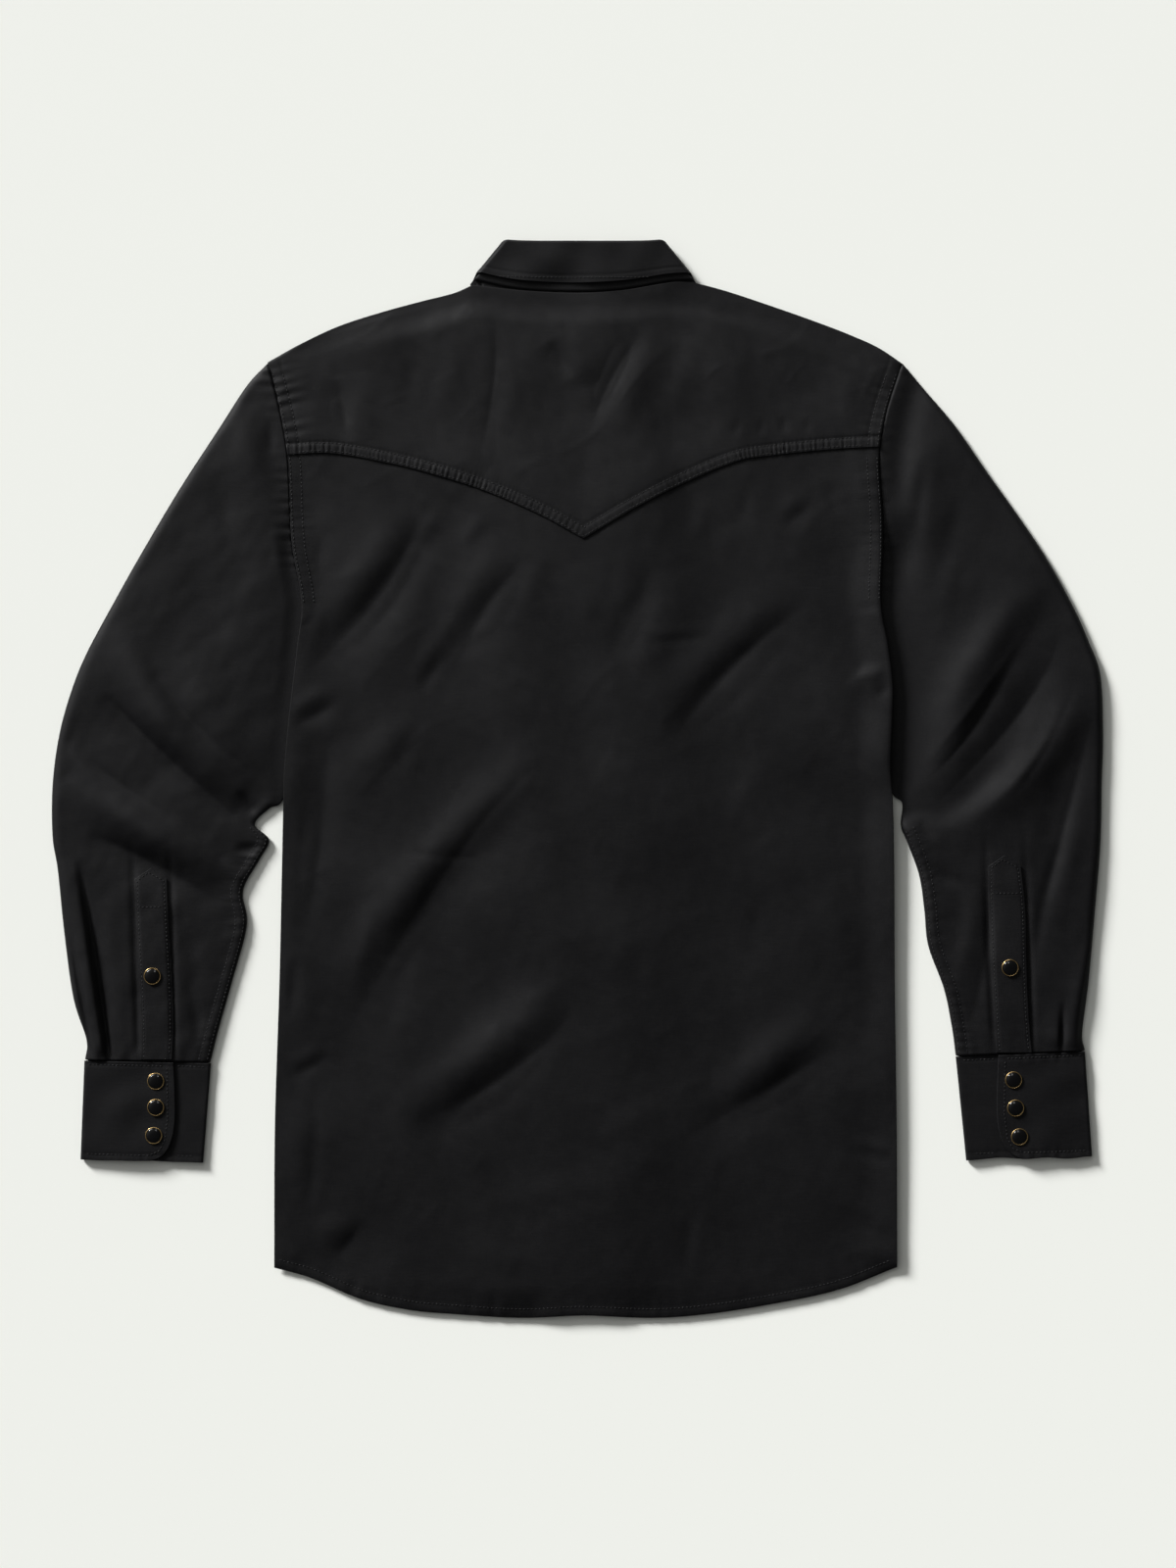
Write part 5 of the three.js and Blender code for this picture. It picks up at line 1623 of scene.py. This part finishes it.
RIGHT_SLEEVE_CREASES = [
    [340, 30, 304, -10, 262, -34, 10, -2.4], [374, 152, 342, 110, 304, 62, 15, -1.7],
    [300, 46, 270, 10, 246, -22, 12, 2.0], [352, 128, 310, 66, 262, 6, 4, 0.9, 0, 1.3],
    [376, 58, 344, 8, 300, -34, 4, 0.8, 0, 1.3], [382, 74, 360, 26, 330, -20, 3.4, -0.9, 0, 1.2],
    [312.5, -30, 315.5, -135, 323, -262, 2.4, -1.5], [342, -30, 346, -135, 352, -262, 2.4, -1.3],
    [341, 106, 303, 38, 262, -6, 4.5, -1.2, 0, 1.4], [370, 122, 341, 53, 254, -38, 4, -0.7, 0, 1.2],
    [398, 64, 372, -40, 356, -100, 4.5, -1.4, 0, 1.3], [372, -44, 356, -101, 347, -161, 5, -1.2],
    [316, -70, 314, -125, 299, -200, 5.5, -1.4, 0, 1.5], [372, -168, 371, -210, 370, -252, 2, -2.6],
    [368, -168, 367, -210, 366, -252, 6, 1.8, -0.5], [393, -130, 387, -190, 376, -270, 2, -2.6],
    [389, -130, 383, -190, 372, -270, 6, 2.2, -0.6], [306, -80, 300, -120, 288, -170, 7, 1],
    [268, 250, 262, 210, 256, 160, 6, -1.2], [300, 226, 284, 180, 264, 130, 9, -1.1],
    [262, -30, 266, -38, 276, -46, 4, -1.3], [270, -66, 282, -76, 298, -80, 5, -1.2],
    [384, -20, 376, -70, 366, -120, 7, 0.9],
]


@dataclass
class Cuff:
    """A cuff: one strip that goes round and overlaps on top, closed by its snaps."""

    side: int
    finishes: Finishes
    outer_top: tuple
    inner_top: tuple
    inner_bottom: tuple
    outer_bottom: tuple
    overlap_x: float
    underlap_x: float
    snaps: tuple
    seed: int
    cloth: float = 1.5
    band: float = 1.7
    low: float = 0.85
    underlap: float = 3.2
    outer: float = 4.0
    overlap: float = 5.2
    rows: int = 52
    depth: float = 78.0
    stitch_inset: float = 5.0
    stitch_step: float = 1.2
    flat: tuple = (0.23, 0.078)
    area: float = 0.0172

    CORNER = Table(
        "down back",
        [[0, 0], [0.3, -1], [0.6, -1], [0.8, 2], [0.9, 6], [0.96, 11], [1, 18]],
        "down",
    )

    @property
    def name(self) -> str:
        """Name the cuff by the wearer's side."""
        return "cuff_left" if self.side < 0 else "cuff_right"

    def _turn(self, edge: float, outward: int, from_z: float, to_z: float) -> list[tuple]:
        """Turn the strip round an edge.

        Args:
            edge: The place of the edge across.
            outward: The direction that the edge faces.
            from_z: The height at the start.
            to_z: The height at the end.

        Returns:
            Places with their height and the direction that the strip faces.
        """
        radius = abs(to_z - from_z) / 2
        way = math.copysign(1, to_z - from_z)
        centre_x, centre_z = edge - outward * (radius + self.band / 2), (from_z + to_z) / 2
        places = []
        for degrees in range(-90, 91, 15):
            cos, sin = math.cos(math.radians(degrees)), math.sin(math.radians(degrees))
            x, z = centre_x + outward * cos * radius, centre_z + way * sin * radius
            places.append((x, z, outward * cos, way * sin))
        return places

    def section(self, down: float) -> Array:
        """Lay out the strip at one depth, from the sleeve's seam (0) to the cuff's end (1).

        Args:
            down: The depth.

        Returns:
            Places with their height and the direction that the strip faces.
        """
        outer = mix(self.outer_top[0], self.outer_bottom[0], down)
        inner = mix(self.inner_top[0], self.inner_bottom[0], down)
        end = self.overlap_x + self.side * float(self.CORNER.at("back", down))
        inner_turn = self._turn(inner, -self.side, self.underlap, self.low)
        outer_turn = self._turn(outer, self.side, self.low, self.outer)
        ramp = self.underlap_x + self.side * 2

        share = np.linspace(0, 1, 26)[1:]
        rise = mix(self.outer, self.overlap, ease(share, 0, 1))
        flats = (
            (np.linspace(self.underlap_x, inner_turn[0][0], 24)[:-1], self.underlap, 1),
            (np.linspace(inner_turn[-1][0], outer_turn[0][0], 30)[1:-1], self.low, -1),
            (mix(outer_turn[-1][0], ramp, share), rise, 1),
            (mix(ramp, end, crowded(14, [0.0, 0.02]))[1:], self.overlap, 1),
        )
        under, below, climb, over = (
            np.column_stack([x, 0 * x + z, 0 * x, 0 * x + up]) for x, z, up in flats
        )
        return np.concatenate([under, inner_turn, below, outer_turn, climb, over])

    def build(self) -> Probe:
        """Make the cuff and its stitches.

        Returns:
            Its upper face.
        """
        down = crowded(self.rows, [0.0, 0.008, 0.02])
        sections = np.array([self.section(d) for d in down]).transpose(1, 0, 2)
        x, z, nx, nz = (sections[:, :, k] for k in range(4))
        across = (x - self.outer_top[0]) / (self.inner_top[0] - self.outer_top[0])
        top_y = mix(self.outer_top[1], self.inner_top[1], across) - Pattern.SEAM_GAP
        bottom_y = mix(self.outer_bottom[1], self.inner_bottom[1], across)
        soft = SoftNoise(self.seed, 34, 1.3, 20)
        y = mix(top_y, bottom_y, down[None, :])
        y = y + 0.5 * ease(down, 0.9, 1)[None, :] * SoftNoise(self.seed + 1, 40).at(x, x * 0)
        detail = (0.2 * soft.at(x, y) + self._sewn(x, down)) * ease(nz, 0.5, 1)
        out, half = self.band / 2 + detail, self.cloth / 2
        outside = points_at(x + nx * out, y, z + nz * out)
        inside = points_at(x - nx * half, y, z - nz * half)
        rub = np.exp(-(1 - down[None, :]) * self.depth / 2.5) + 0 * x
        cut = {"flat": self.flat, "held": "laid", "rests_on": [f"sleeve_{self.name[5:]}"], "area": self.area}
        cloth(self.name, shell(outside, inside), rub, self.finishes, **cut)
        probe = Probe(outside)
        self._stitch(probe)
        return probe

    def _sewn(self, x: Array, down: Array) -> Array:
        """Shape the edges that the topstitching holds down.

        Args:
            x: Places across.
            down: From the seam to the cuff's end.

        Returns:
            The added height.
        """
        from_end, from_seam = (1 - down[None, :]) * self.depth, down[None, :] * self.depth
        ripple = Seam(np.array([[0.0, 0.0], [300.0, 0.0]]), self.seed + 2, 6).ripple(np.abs(x))
        grooves = 0.34 * bell(from_end - self.stitch_inset, 0.9) + 0.3 * bell(from_seam - 2.5, 0.9)
        return 0.1 * ripple * (bell(from_end, 7) + bell(from_seam, 6)) - grooves

    def _stitch(self, probe: Probe) -> None:
        """Sew round the cuff's edges.

        Args:
            probe: The cuff's upper face.
        """
        stitches = Stitching(f"stitches_{self.name}")
        inset = self.stitch_inset
        outer = self.outer_bottom[0] - self.side * inset
        inner = self.inner_bottom[0] + self.side * inset
        end = self.overlap_x + self.side * inset
        low_outer, low_inner = self.outer_bottom[1] + inset, self.inner_bottom[1] + inset
        top_outer, top_inner = self.outer_top[1] - 3, self.inner_top[1] - 3
        low_end = mix(low_outer, low_inner, abs(end - outer) / abs(inner - outer))
        top_end = (end, mix(top_outer, top_inner, 0.62))
        past = self.overlap_x - self.side * 3
        lines = (
            [
                (outer, low_outer),
                (end + self.side * 14, mix(low_outer, low_end, 0.9)),
                (end + self.side * 6, low_end + 3.5),
                (end + self.side * 1.5, low_end + 12),
                (end - self.side * 0.6, low_end + 30),
                top_end,
            ],
            [(self.outer_top[0] - self.side * 3, top_outer), top_end],
            [(past, mix(top_outer, top_inner, 0.7)), (self.inner_top[0] + self.side * 3, top_inner)],
            [(past, mix(low_outer, low_inner, 0.75)), (inner, low_inner)],
        )
        for line in lines:
            stitches.lay(probe, polyline(line, self.stitch_step))
        stitches.finish(self.finishes)


@dataclass
class SleevePlacket:
    """The pointed placket that is sewn on a sleeve above its cuff."""

    name: str
    finishes: Finishes
    sleeve: Probe
    tip: tuple
    shoulder: float
    edges: Table
    box_y: float
    snap: tuple
    thickness: float = 0.9
    above: float = 0.15
    stitch_inset: float = 2.4
    stitch_step: float = 1.2
    flat: tuple = (0.03, 0.155)
    area: float = 0.0036

    def build(self) -> Probe:
        """Make the placket and its stitches.

        Returns:
            Its upper face.
        """
        share = crowded(22, [0.0, 0.015, 0.04])[:, None]
        rise = crowded(100, [0.0, 0.003, 0.008])[None, :]
        low = self.edges.along[0]
        high = mix(self.tip[1], self.shoulder, np.abs(2 * share - 1))
        y = mix(low, high, rise)
        x = mix(self.edges.at("left", y), self.edges.at("right", y), share)
        wide = self.edges.at("right", y) - self.edges.at("left", y)
        from_side = np.minimum(share, 1 - share) * wide
        base = self.sleeve.heights(x, y) + self.above
        plump = 0.15 * ease(from_side, 0, 2) - 0.4 * bell(from_side - 2.2, 0.7)
        outside = points_at(x, y, base + self.thickness + plump)
        mesh = shell(outside, points_at(x, y, base))
        node, rub = f"sleeve_placket_{self.name}", np.exp(-from_side / 1.6)
        cut = {"flat": self.flat, "held": "laid", "rests_on": [f"sleeve_{self.name}"], "area": self.area}
        cloth(node, mesh, rub, self.finishes, **cut)
        probe = Probe(outside)
        self._stitch(probe, low)
        return probe

    def _stitch(self, probe: Probe, low: float) -> None:
        """Sew the edges, the point and the line that closes the box below it.

        Args:
            probe: The placket's upper face.
            low: Where the cuff's seam is.
        """
        inset = self.stitch_inset
        y = np.linspace(low + 1, self.shoulder - 1, 60)
        left = np.column_stack([self.edges.at("left", y) + inset, y])
        right = np.column_stack([self.edges.at("right", y) - inset, y])
        top = np.array([[self.tip[0], self.tip[1] - inset - 0.8]])
        around = np.concatenate([left, top, right[::-1]])
        box = [
            [float(self.edges.at("left", self.box_y)) + inset, self.box_y],
            [float(self.edges.at("right", self.box_y)) - inset, self.box_y],
        ]
        stitches = Stitching(f"stitches_placket_{self.name}")
        for line in (around, box):
            stitches.lay(probe, polyline(line, self.stitch_step))
        stitches.finish(self.finishes)


@dataclass
class Collar:
    """The collar: a stand round the neck and the fall that turns over it."""

    finishes: Finishes
    stand_height: float = 38.0
    fold_half_width: float = 59.0
    middle: float = 4.35
    turn: float = 1.5
    back_rise: float = 3.0
    band: float = 1.7
    cloth: float = 1.3
    fall_edge: float = 7.0
    point_x: float = 50.0
    point_y: float = 262.0

    def stations(self) -> Array:
        """List the stations round the collar, from the middle of the front and back to it.

        Returns:
            The way across, the angle from the front (-90) to the back (90), and the side.
        """
        rows = []
        front = np.sin(np.linspace(0.03, 1, 34) * math.pi / 2)
        rows += [(-way, -90.0, -1) for way in front]
        rows += [(-1.0, float(a), -1) for a in range(-75, 76, 15)]
        rows += [(way, 90.0, math.copysign(1, way)) for way in np.linspace(-1, 1, 96)]
        rows += [(1.0, float(a), 1) for a in range(75, -76, -15)]
        rows += [(way, -90.0, 1) for way in front[::-1]]
        return np.array(rows)

    def point(self, stations: Array, up: Array, out: Array, towards: Array) -> Array:
        """Place points of the collar.

        Args:
            stations: The stations round it.
            up: The way from the neckline.
            out: The way out from the stand's middle.
            towards: How far the fall has gone from the fold to its edge.

        Returns:
            The points.
        """
        way, angle, side = (stations[:, k, None] for k in range(3))
        share = up / self.stand_height
        radians = np.radians(angle)
        half_width = mix(Pattern.NECK_HALF_WIDTH, self.fold_half_width, share)
        sideways = side * np.cos(radians) * (self.turn + out)
        x = Pattern.CENTRE_X + way * (half_width - self.turn) + sideways
        side_y = Pattern.NECK_SIDE_Y + 2.5 + up * 0.8
        back_y = mix(Pattern.shoulder(x) + 0.3, Pattern.NECK_SIDE_Y + 32, share)
        drop = Pattern.NECK_SIDE_Y - Pattern.NECK_FRONT_Y
        front_y = side_y - drop * np.sqrt(np.maximum(0, 1 - way**2))
        at_back = np.where(angle > 0, 1 - np.abs(way) ** 6, 0)
        y = np.where(angle > 0, mix(side_y, back_y, at_back), front_y)
        backness = (1 + np.sin(radians)) / 2
        z = self.middle + np.sin(radians) * (self.turn + out) + self.back_rise * share * backness
        pull = np.where(angle < 0, towards * -np.sin(radians), 0)
        at_point = 1 - np.abs(way)
        edge_x = Pattern.CENTRE_X + side * mix(Pattern.NECK_HALF_WIDTH + 3, self.point_x, at_point)
        edge_y = mix(Pattern.NECK_SIDE_Y, self.point_y, at_point)
        low_z = self.middle - self.turn - out
        return points_at(mix(x, edge_x, pull), mix(y, edge_y, pull), mix(z, low_z, pull))

    def build(self) -> None:
        """Make the stand, the fall and the topstitching."""
        stations = self.stations()
        ups = np.linspace(0.4, self.stand_height - 4, 16)[None, :]
        zero = 0 * ups
        half = self.cloth / 2
        outside = self.point(stations, ups, zero + half, zero)
        inside = self.point(stations, ups, zero - half, zero)
        self._piece("collar_stand", outside, inside, (0.42, 0.038), 0.0125)
        rows = self._fall_rows()
        up, out, face_up, face_out, towards = (rows[None, :, k] for k in range(5))
        soft = SoftNoise(61, 34, 1.2, 0)
        at = self.point(stations, up, out, towards)
        swell = 0.35 * soft.at(at[..., 0], at[..., 1]) * ease(face_out, 0.5, 1)
        from_edge = (1 - towards) * 30
        edge = 0.2 * bell(from_edge - 5.5, 1.2) * (towards > 0)
        lift = self.band / 2 + (swell - edge) * (stations[:, 1, None] > 0)
        outside = self.point(stations, up + lift * face_up, out + lift * face_out, towards)
        inside = self.point(stations, up - half * face_up, out - half * face_out, towards)
        self._stitch(self._piece("collar_fall", outside, inside, (0.43, 0.085), 0.0175))

    def _fall_rows(self) -> Array:
        """Lay out the fall's section.

        Returns:
            Up, out, the direction that it faces (up and out) and how far towards its edge.
        """
        radius = (self.band + Pattern.SEAM_GAP) / 2
        fold_up = self.stand_height - 1.5
        rows = [[self.stand_height - 3.4, 0, 0, -1, 0]]
        for degrees in range(-90, 91, 15):
            cos, sin = math.cos(math.radians(degrees)), math.sin(math.radians(degrees))
            rows.append([fold_up + radius * cos, radius + radius * sin, cos, sin, 0])
        for towards in crowded(34, [0.0, 0.01])[1:]:
            rows.append([mix(fold_up, self.fall_edge, towards), 2 * radius, 0, 1, towards])
        return np.array(rows)

    def _piece(self, node: str, outside: Array, inside: Array, flat: tuple, area: float) -> Probe:
        """Make one piece of the collar.

        Args:
            node: The solid that it replaces.
            outside: Its outer points.
            inside: Its inner points.
            flat: The width and length that it was cut from.
            area: Its flat area.

        Returns:
            Its outer face.
        """
        rub = np.zeros(outside.shape[:2])
        rub[:, -3:] = 0.8
        cut = {"flat": flat, "held": "folded", "rests_on": ["back_yoke"], "area": area}
        cloth(node, shell(outside, inside), rub, self.finishes, **cut)
        return Probe(outside)

    def _stitch(self, probe: Probe) -> None:
        """Sew along the fall's edge.

        Args:
            probe: The fall's outer face.
        """
        x = np.linspace(-76, 84, 90)
        edge = 378.5 + 6.0 - 1.2 * np.cos((x - Pattern.CENTRE_X) / 80 * math.pi / 2)
        path = np.column_stack([x, edge])
        z = probe.heights(path[:, 0], path[:, 1])
        on_back = z > self.middle
        stitches = Stitching("stitches_collar")
        stitches.run(np.column_stack([path, z])[on_back])
        stitches.finish(self.finishes)


@dataclass
class SnapSet:
    """The snaps: glossy domed caps, each in a thin metal ring."""

    finishes: Finishes
    radius: float = 6.5
    wall: float = 0.75
    clear: float = 0.06
    dome_height: float = 2.6
    front_height: float = 1.7
    set_in: float = 0.1
    segments: int = 56
    places: list = field(default_factory=list)

    def ring_profile(self) -> list[tuple[float, float]]:
        """Outline the ring: rounded, and low at its outer edge."""
        inner = self.radius - self.wall
        profile = [(inner, 0.0), (self.radius, 0.0), (self.radius, 0.75)]
        for degrees in range(0, 181, 20):
            angle = math.radians(degrees)
            profile.append((inner + self.wall / 2 * (1 + math.cos(angle)), 0.95 + 0.42 * math.sin(angle)))
        return profile

    def cap_profile(self) -> list[tuple[float, float]]:
        """Outline the cap: a low dome with a rounded shoulder."""
        inner = self.radius - self.wall - self.clear
        profile = [(0.0, 0.0), (inner, 0.0), (inner, 0.9)]
        for n in range(1, 15):
            share = n / 15
            r = inner * math.cos(share * math.pi / 2) ** 0.8
            profile.append((r, 0.9 + 1.7 * math.sin(share * math.pi / 2) ** 0.9))
        profile.append((0.0, self.dome_height))
        return profile

    def add(self, name: str, x: float, y: float, probe: Probe) -> None:
        """Place a snap, whose nodes' names end in name, on the cloth of a probe."""
        self.places.append((name, x, y, probe.height(x, y) - self.set_in))

    def _turned(self, profile: list, closed: bool) -> tuple[Array, list]:
        """Turn a profile about the vertical.

        Args:
            profile: Radius and height of its points.
            closed: Whether it closes on itself rather than ends on the axis.

        Returns:
            The points and the faces.
        """
        angle = np.linspace(0, 2 * math.pi, self.segments, endpoint=False)
        body = profile if closed else profile[1:-1]
        around = np.column_stack([np.cos(angle), np.sin(angle), 0 * angle])
        points = np.concatenate([r * around + [0, 0, z] for r, z in body])
        s, n = self.segments, len(body)
        faces = []
        for j in range(n if closed else n - 1):
            for k in range(s):
                a, b = j * s + k, j * s + (k + 1) % s
                c, d = ((j + 1) % n) * s + (k + 1) % s, ((j + 1) % n) * s + k
                faces += [(a, b, c), (a, c, d)]
        if not closed:
            first, last = len(points), len(points) + 1
            points = np.concatenate([points, [[0, 0, profile[0][1]], [0, 0, profile[-1][1]]]])
            for k in range(s):
                after = (k + 1) % s
                faces.append((first, after, k))
                faces.append((last, (n - 1) * s + k, (n - 1) * s + after))
        return points, faces

    def build(self) -> None:
        """Make the rings and the caps."""
        for kind, profile, closed, material, slot in (
            ("ring", self.ring_profile(), True, self.finishes.brass, Slot.SNAP_RING),
            ("cap", self.cap_profile(), False, self.finishes.enamel, Slot.SNAP_CAP),
        ):
            points, faces = self._turned(profile, closed)
            for name, x, y, z in self.places:
                moved = points + np.array([x, y, z])
                piece = make_mesh(f"{kind}_{name}", moved, np.array(faces), material)
                declare(piece, f"snap_{kind}_{name}")
        LOG.info("snaps: %d", len(self.places))

    def build_front(self, count: int = 7, top_y: float = 231.0, bottom_y: float = -310.0) -> None:
        """Make the snaps under the front placket, their caps down.

        Args:
            count: How many there are.
            top_y: Where the first one is.
            bottom_y: Where the last one is.
        """
        points, faces = self._turned(self.cap_profile(), False)
        wide = self.radius / (self.radius - self.wall - self.clear)
        shape = points * np.array([wide, wide, -self.front_height / self.dome_height])
        for n in range(count):
            y = mix(top_y, bottom_y, n / (count - 1))
            moved = shape + np.array([Pattern.CENTRE_X, y, self.front_height])
            piece = make_mesh(f"front_cap_{n + 1}", moved, np.array(faces), self.finishes.enamel)
            declare(piece, f"front_snap_{n + 1}")


class BodyStitches:
    """The topstitching on the back: yoke, armholes and hem."""

    def __init__(self, probes: dict[str, Probe], finishes: Finishes) -> None:
        """Sew it.

        Args:
            probes: The upper faces of the body and the yoke.
            finishes: The materials.
        """
        stitches = Stitching("stitches_back")
        for name, line, inset, start, end in (
            ("yoke", Pattern.yoke_seam, 8.0, -213, 222),
            ("yoke", Pattern.yoke_seam, 1.8, -213, 222),
            ("body", Pattern.hem, 7.0, -228, 241),
        ):
            x = np.linspace(start, end, 300)
            stitches.lay(probes[name], np.column_stack([x, self._inset(x, line, inset)]))
        for side, inset in ((-1, 9.5), (1, 9.5), (-1, 1.8), (1, 1.8)):
            edge = Pattern.left if side < 0 else Pattern.right
            for name, high, low in (("yoke", 310.0, 253.0), ("body", 246.0, 134.0)):
                y = np.linspace(high, low, 120)
                stitches.lay(probes[name], np.column_stack([edge(y) - side * inset, y]))
        stitches.finish(finishes)

    @staticmethod
    def _inset(x: Array, line: Callable, inset: float) -> Array:
        """Move a line across the back up, by the same distance all along it."""
        slope = np.gradient(line(x), x)
        return line(x) + inset * np.sqrt(1 + np.minimum(slope**2, 0.6))


@dataclass
class Studio:
    """The floor, the soft lights and the camera, which looks straight down."""

    finishes: Finishes
    photo_mm_per_px: float = 0.75
    photo_size: tuple = (1200, 1600)
    soft_boxes: tuple = (
        ("spark", 0.42, 6.0, (0.12, 1.05, 2.2)),
        ("upper_left_box", 0.5, 14.0, (-0.98, 1.0, 0.56)),
        ("top_box", 0.4, 3.6, (0.06, 0.98, 0.46)),
    )
    centre: tuple = (8.3, -4.0)
    lens: float = 100.0
    sensor: float = 36.0
    shadow_fall: tuple = (11.5, -11.5)
    key_height: float = 20.0
    key_strength: float = 6.88
    key_spread: float = 14.0
    surrounding: float = 0.115
    glow: float = 1.1
    glow_focus: float = 4.0
    glow_lift: float = 1.3
    floor_half: float = 6.0
    floor_drop: float = 0.0002
    shirt_top: float = 0.006

    def build(self) -> None:
        """Set up the studio."""
        self._floor()
        self._camera()
        self._lights()

    def _floor(self) -> None:
        """Lay the floor."""
        half = self.floor_half
        mesh = bpy.data.meshes.new("studio_floor")
        corners = [(-half, -half, 0), (half, -half, 0), (half, half, 0), (-half, half, 0)]
        mesh.from_pydata(corners, [], [(0, 1, 2, 3)])
        mesh.materials.append(self.finishes.floor)
        floor = bpy.data.objects.new("studio_floor", mesh)
        bpy.context.collection.objects.link(floor)
        floor.location.z = -self.floor_drop

    def _camera(self) -> None:
        """Point the camera straight down."""
        data = bpy.data.cameras.new("photo_camera")
        data.lens = self.lens
        data.sensor_width = self.sensor
        data.sensor_fit = "AUTO"
        data.clip_start, data.clip_end = 0.05, 50
        camera = bpy.data.objects.new("photo_camera", data)
        tall = self.photo_size[1] * self.photo_mm_per_px * MM
        away = tall * self.lens / self.sensor
        camera.location = (self.centre[0] * MM, self.centre[1] * MM, away + self.shirt_top)
        bpy.context.collection.objects.link(camera)
        bpy.context.scene.camera = camera

    def _lights(self) -> None:
        """Set the lights: a low soft key from the upper left and a pale surrounding."""
        across, along = self.shadow_fall
        low = math.tan(math.radians(self.key_height)) * math.hypot(across, along)
        key = bpy.data.lights.new("key", "SUN")
        key.energy = self.key_strength
        key.angle = math.radians(self.key_spread)
        self._aim("key", key, (-across, -along, low))
        for name, size, watts, place in self.soft_boxes:
            box = bpy.data.lights.new(name, "AREA")
            box.size = size
            box.energy = watts
            self._aim(name, box, place).visible_diffuse = False
        bpy.context.scene.world = self._surroundings(Vector((-across, -along, low * self.glow_lift)))

    def _surroundings(self, towards: Vector) -> World:
        """Make the surroundings: dim, with one broad bright side.

        Args:
            towards: The direction of the bright side.

        Returns:
            The world.
        """
        world = bpy.data.worlds.new("pale_studio")
        shader = Shader(world)
        place = shader.node("ShaderNodeTexCoord", {}, {}, "Generated")
        aim = towards.normalized()
        facing = shader.node(
            "ShaderNodeVectorMath", {"operation": "DOT_PRODUCT"}, {0: place, 1: tuple(aim)}, "Value"
        )
        glow = facing.clamped() ** self.glow_focus * self.glow + self.surrounding
        sockets = {"Color": (0.985, 0.995, 0.975, 1), "Strength": glow}
        background = shader.node("ShaderNodeBackground", {}, sockets)
        shader.node("ShaderNodeOutputWorld", {}, {"Surface": background})
        return world

    @staticmethod
    def _aim(name: str, data: Light, place: tuple) -> Object:
        """Add a light that faces the shirt.

        Args:
            name: Its name.
            data: The light.
            place: Where it is, in metres.

        Returns:
            Its object.
        """
        light = bpy.data.objects.new(name, data)
        light.location = place
        light.rotation_euler = (-Vector(place)).to_track_quat("-Z", "Y").to_euler()
        bpy.context.collection.objects.link(light)
        return light


SIDES = {"left": -1, "right": 1}
SLEEVES = {
    "left": (
        (LEFT_SLEEVE, FoldField(LEFT_SLEEVE_FOLDS, 1, 1.6), FoldField(LEFT_SLEEVE_CREASES, 1, 1.3), 41),
        {},
    ),
    "right": (
        (RIGHT_SLEEVE, FoldField(RIGHT_SLEEVE_FOLDS, 1, 0.88), FoldField(RIGHT_SLEEVE_CREASES), 51),
        {"tucked": 1.8, "reach": 54.0, "dip": 2.6},
    ),
}
CUFFS = {
    "left": {
        "outer_top": (-377.5, -215.6),
        "inner_top": (-280.5, -217.6),
        "inner_bottom": (-286.5, -294),
        "outer_bottom": (-380.5, -292),
        "overlap_x": -309,
        "underlap_x": -336,
        "snaps": ((-322.5, -231.5), (-322.5, -251.5), (-324, -273)),
        "seed": 71,
    },
    "right": {
        "outer_top": (389, -208.6),
        "inner_top": (290, -212.6),
        "inner_bottom": (298, -292),
        "outer_bottom": (394.5, -289.5),
        "overlap_x": 322.5,
        "underlap_x": 350,
        "snaps": ((334, -230.5), (335.5, -252), (338.5, -274)),
        "seed": 81,
    },
}
PLACKET_EDGES = {
    "left": [
        [-214.9, -334, -310], [-188, -334, -309], [-152, -335.5, -310],
        [-107, -338, -312.5], [-77, -339, -314], [-68, -339, -314],
    ],
    "right": [
        [-209.6, 321, 348], [-180, 319, 345.5], [-143, 316.5, 344],
        [-98, 315, 343], [-67, 314.5, 339.5], [-58, 314.5, 339.5],
    ],
}
PLACKETS = {
    "left": {"tip": (-328.5, -68.5), "shoulder": -77.0, "box_y": -98.0, "snap": (-325, -151)},
    "right": {"tip": (325, -58.5), "shoulder": -67.0, "box_y": -87.5, "snap": (331, -144.5)},
}


def main() -> None:
    """Build the shirt piece by piece, then the studio."""
    logging.basicConfig(level=logging.INFO, format="%(message)s")
    bpy.context.scene.view_settings.view_transform = "Standard"
    finishes = Finishes()
    Studio(finishes).build()
    probes = Back(BackDrape(), finishes).build()
    BodyStitches(probes, finishes)
    Fronts(finishes).build()
    snaps = SnapSet(finishes)
    sleeves = {}
    for name, side in SIDES.items():
        drape, fit = SLEEVES[name]
        sleeves[name] = Sleeve(side, finishes, *drape, **fit).build()
    for name, side in SIDES.items():
        cuff = Cuff(side=side, finishes=finishes, **CUFFS[name])
        probe = cuff.build()
        for n, (x, y) in enumerate(cuff.snaps):
            snaps.add(f"cuff_{name}_{n + 1}", x, y, probe)
    for name, sleeve in sleeves.items():
        edges = Table("y left right", PLACKET_EDGES[name], "y")
        placket = SleevePlacket(name, finishes, sleeve, edges=edges, **PLACKETS[name])
        snaps.add(f"placket_{name}", *placket.snap, placket.build())
    Collar(finishes).build()
    snaps.build()
    snaps.build_front()


if __name__ == "__main__":
    main()
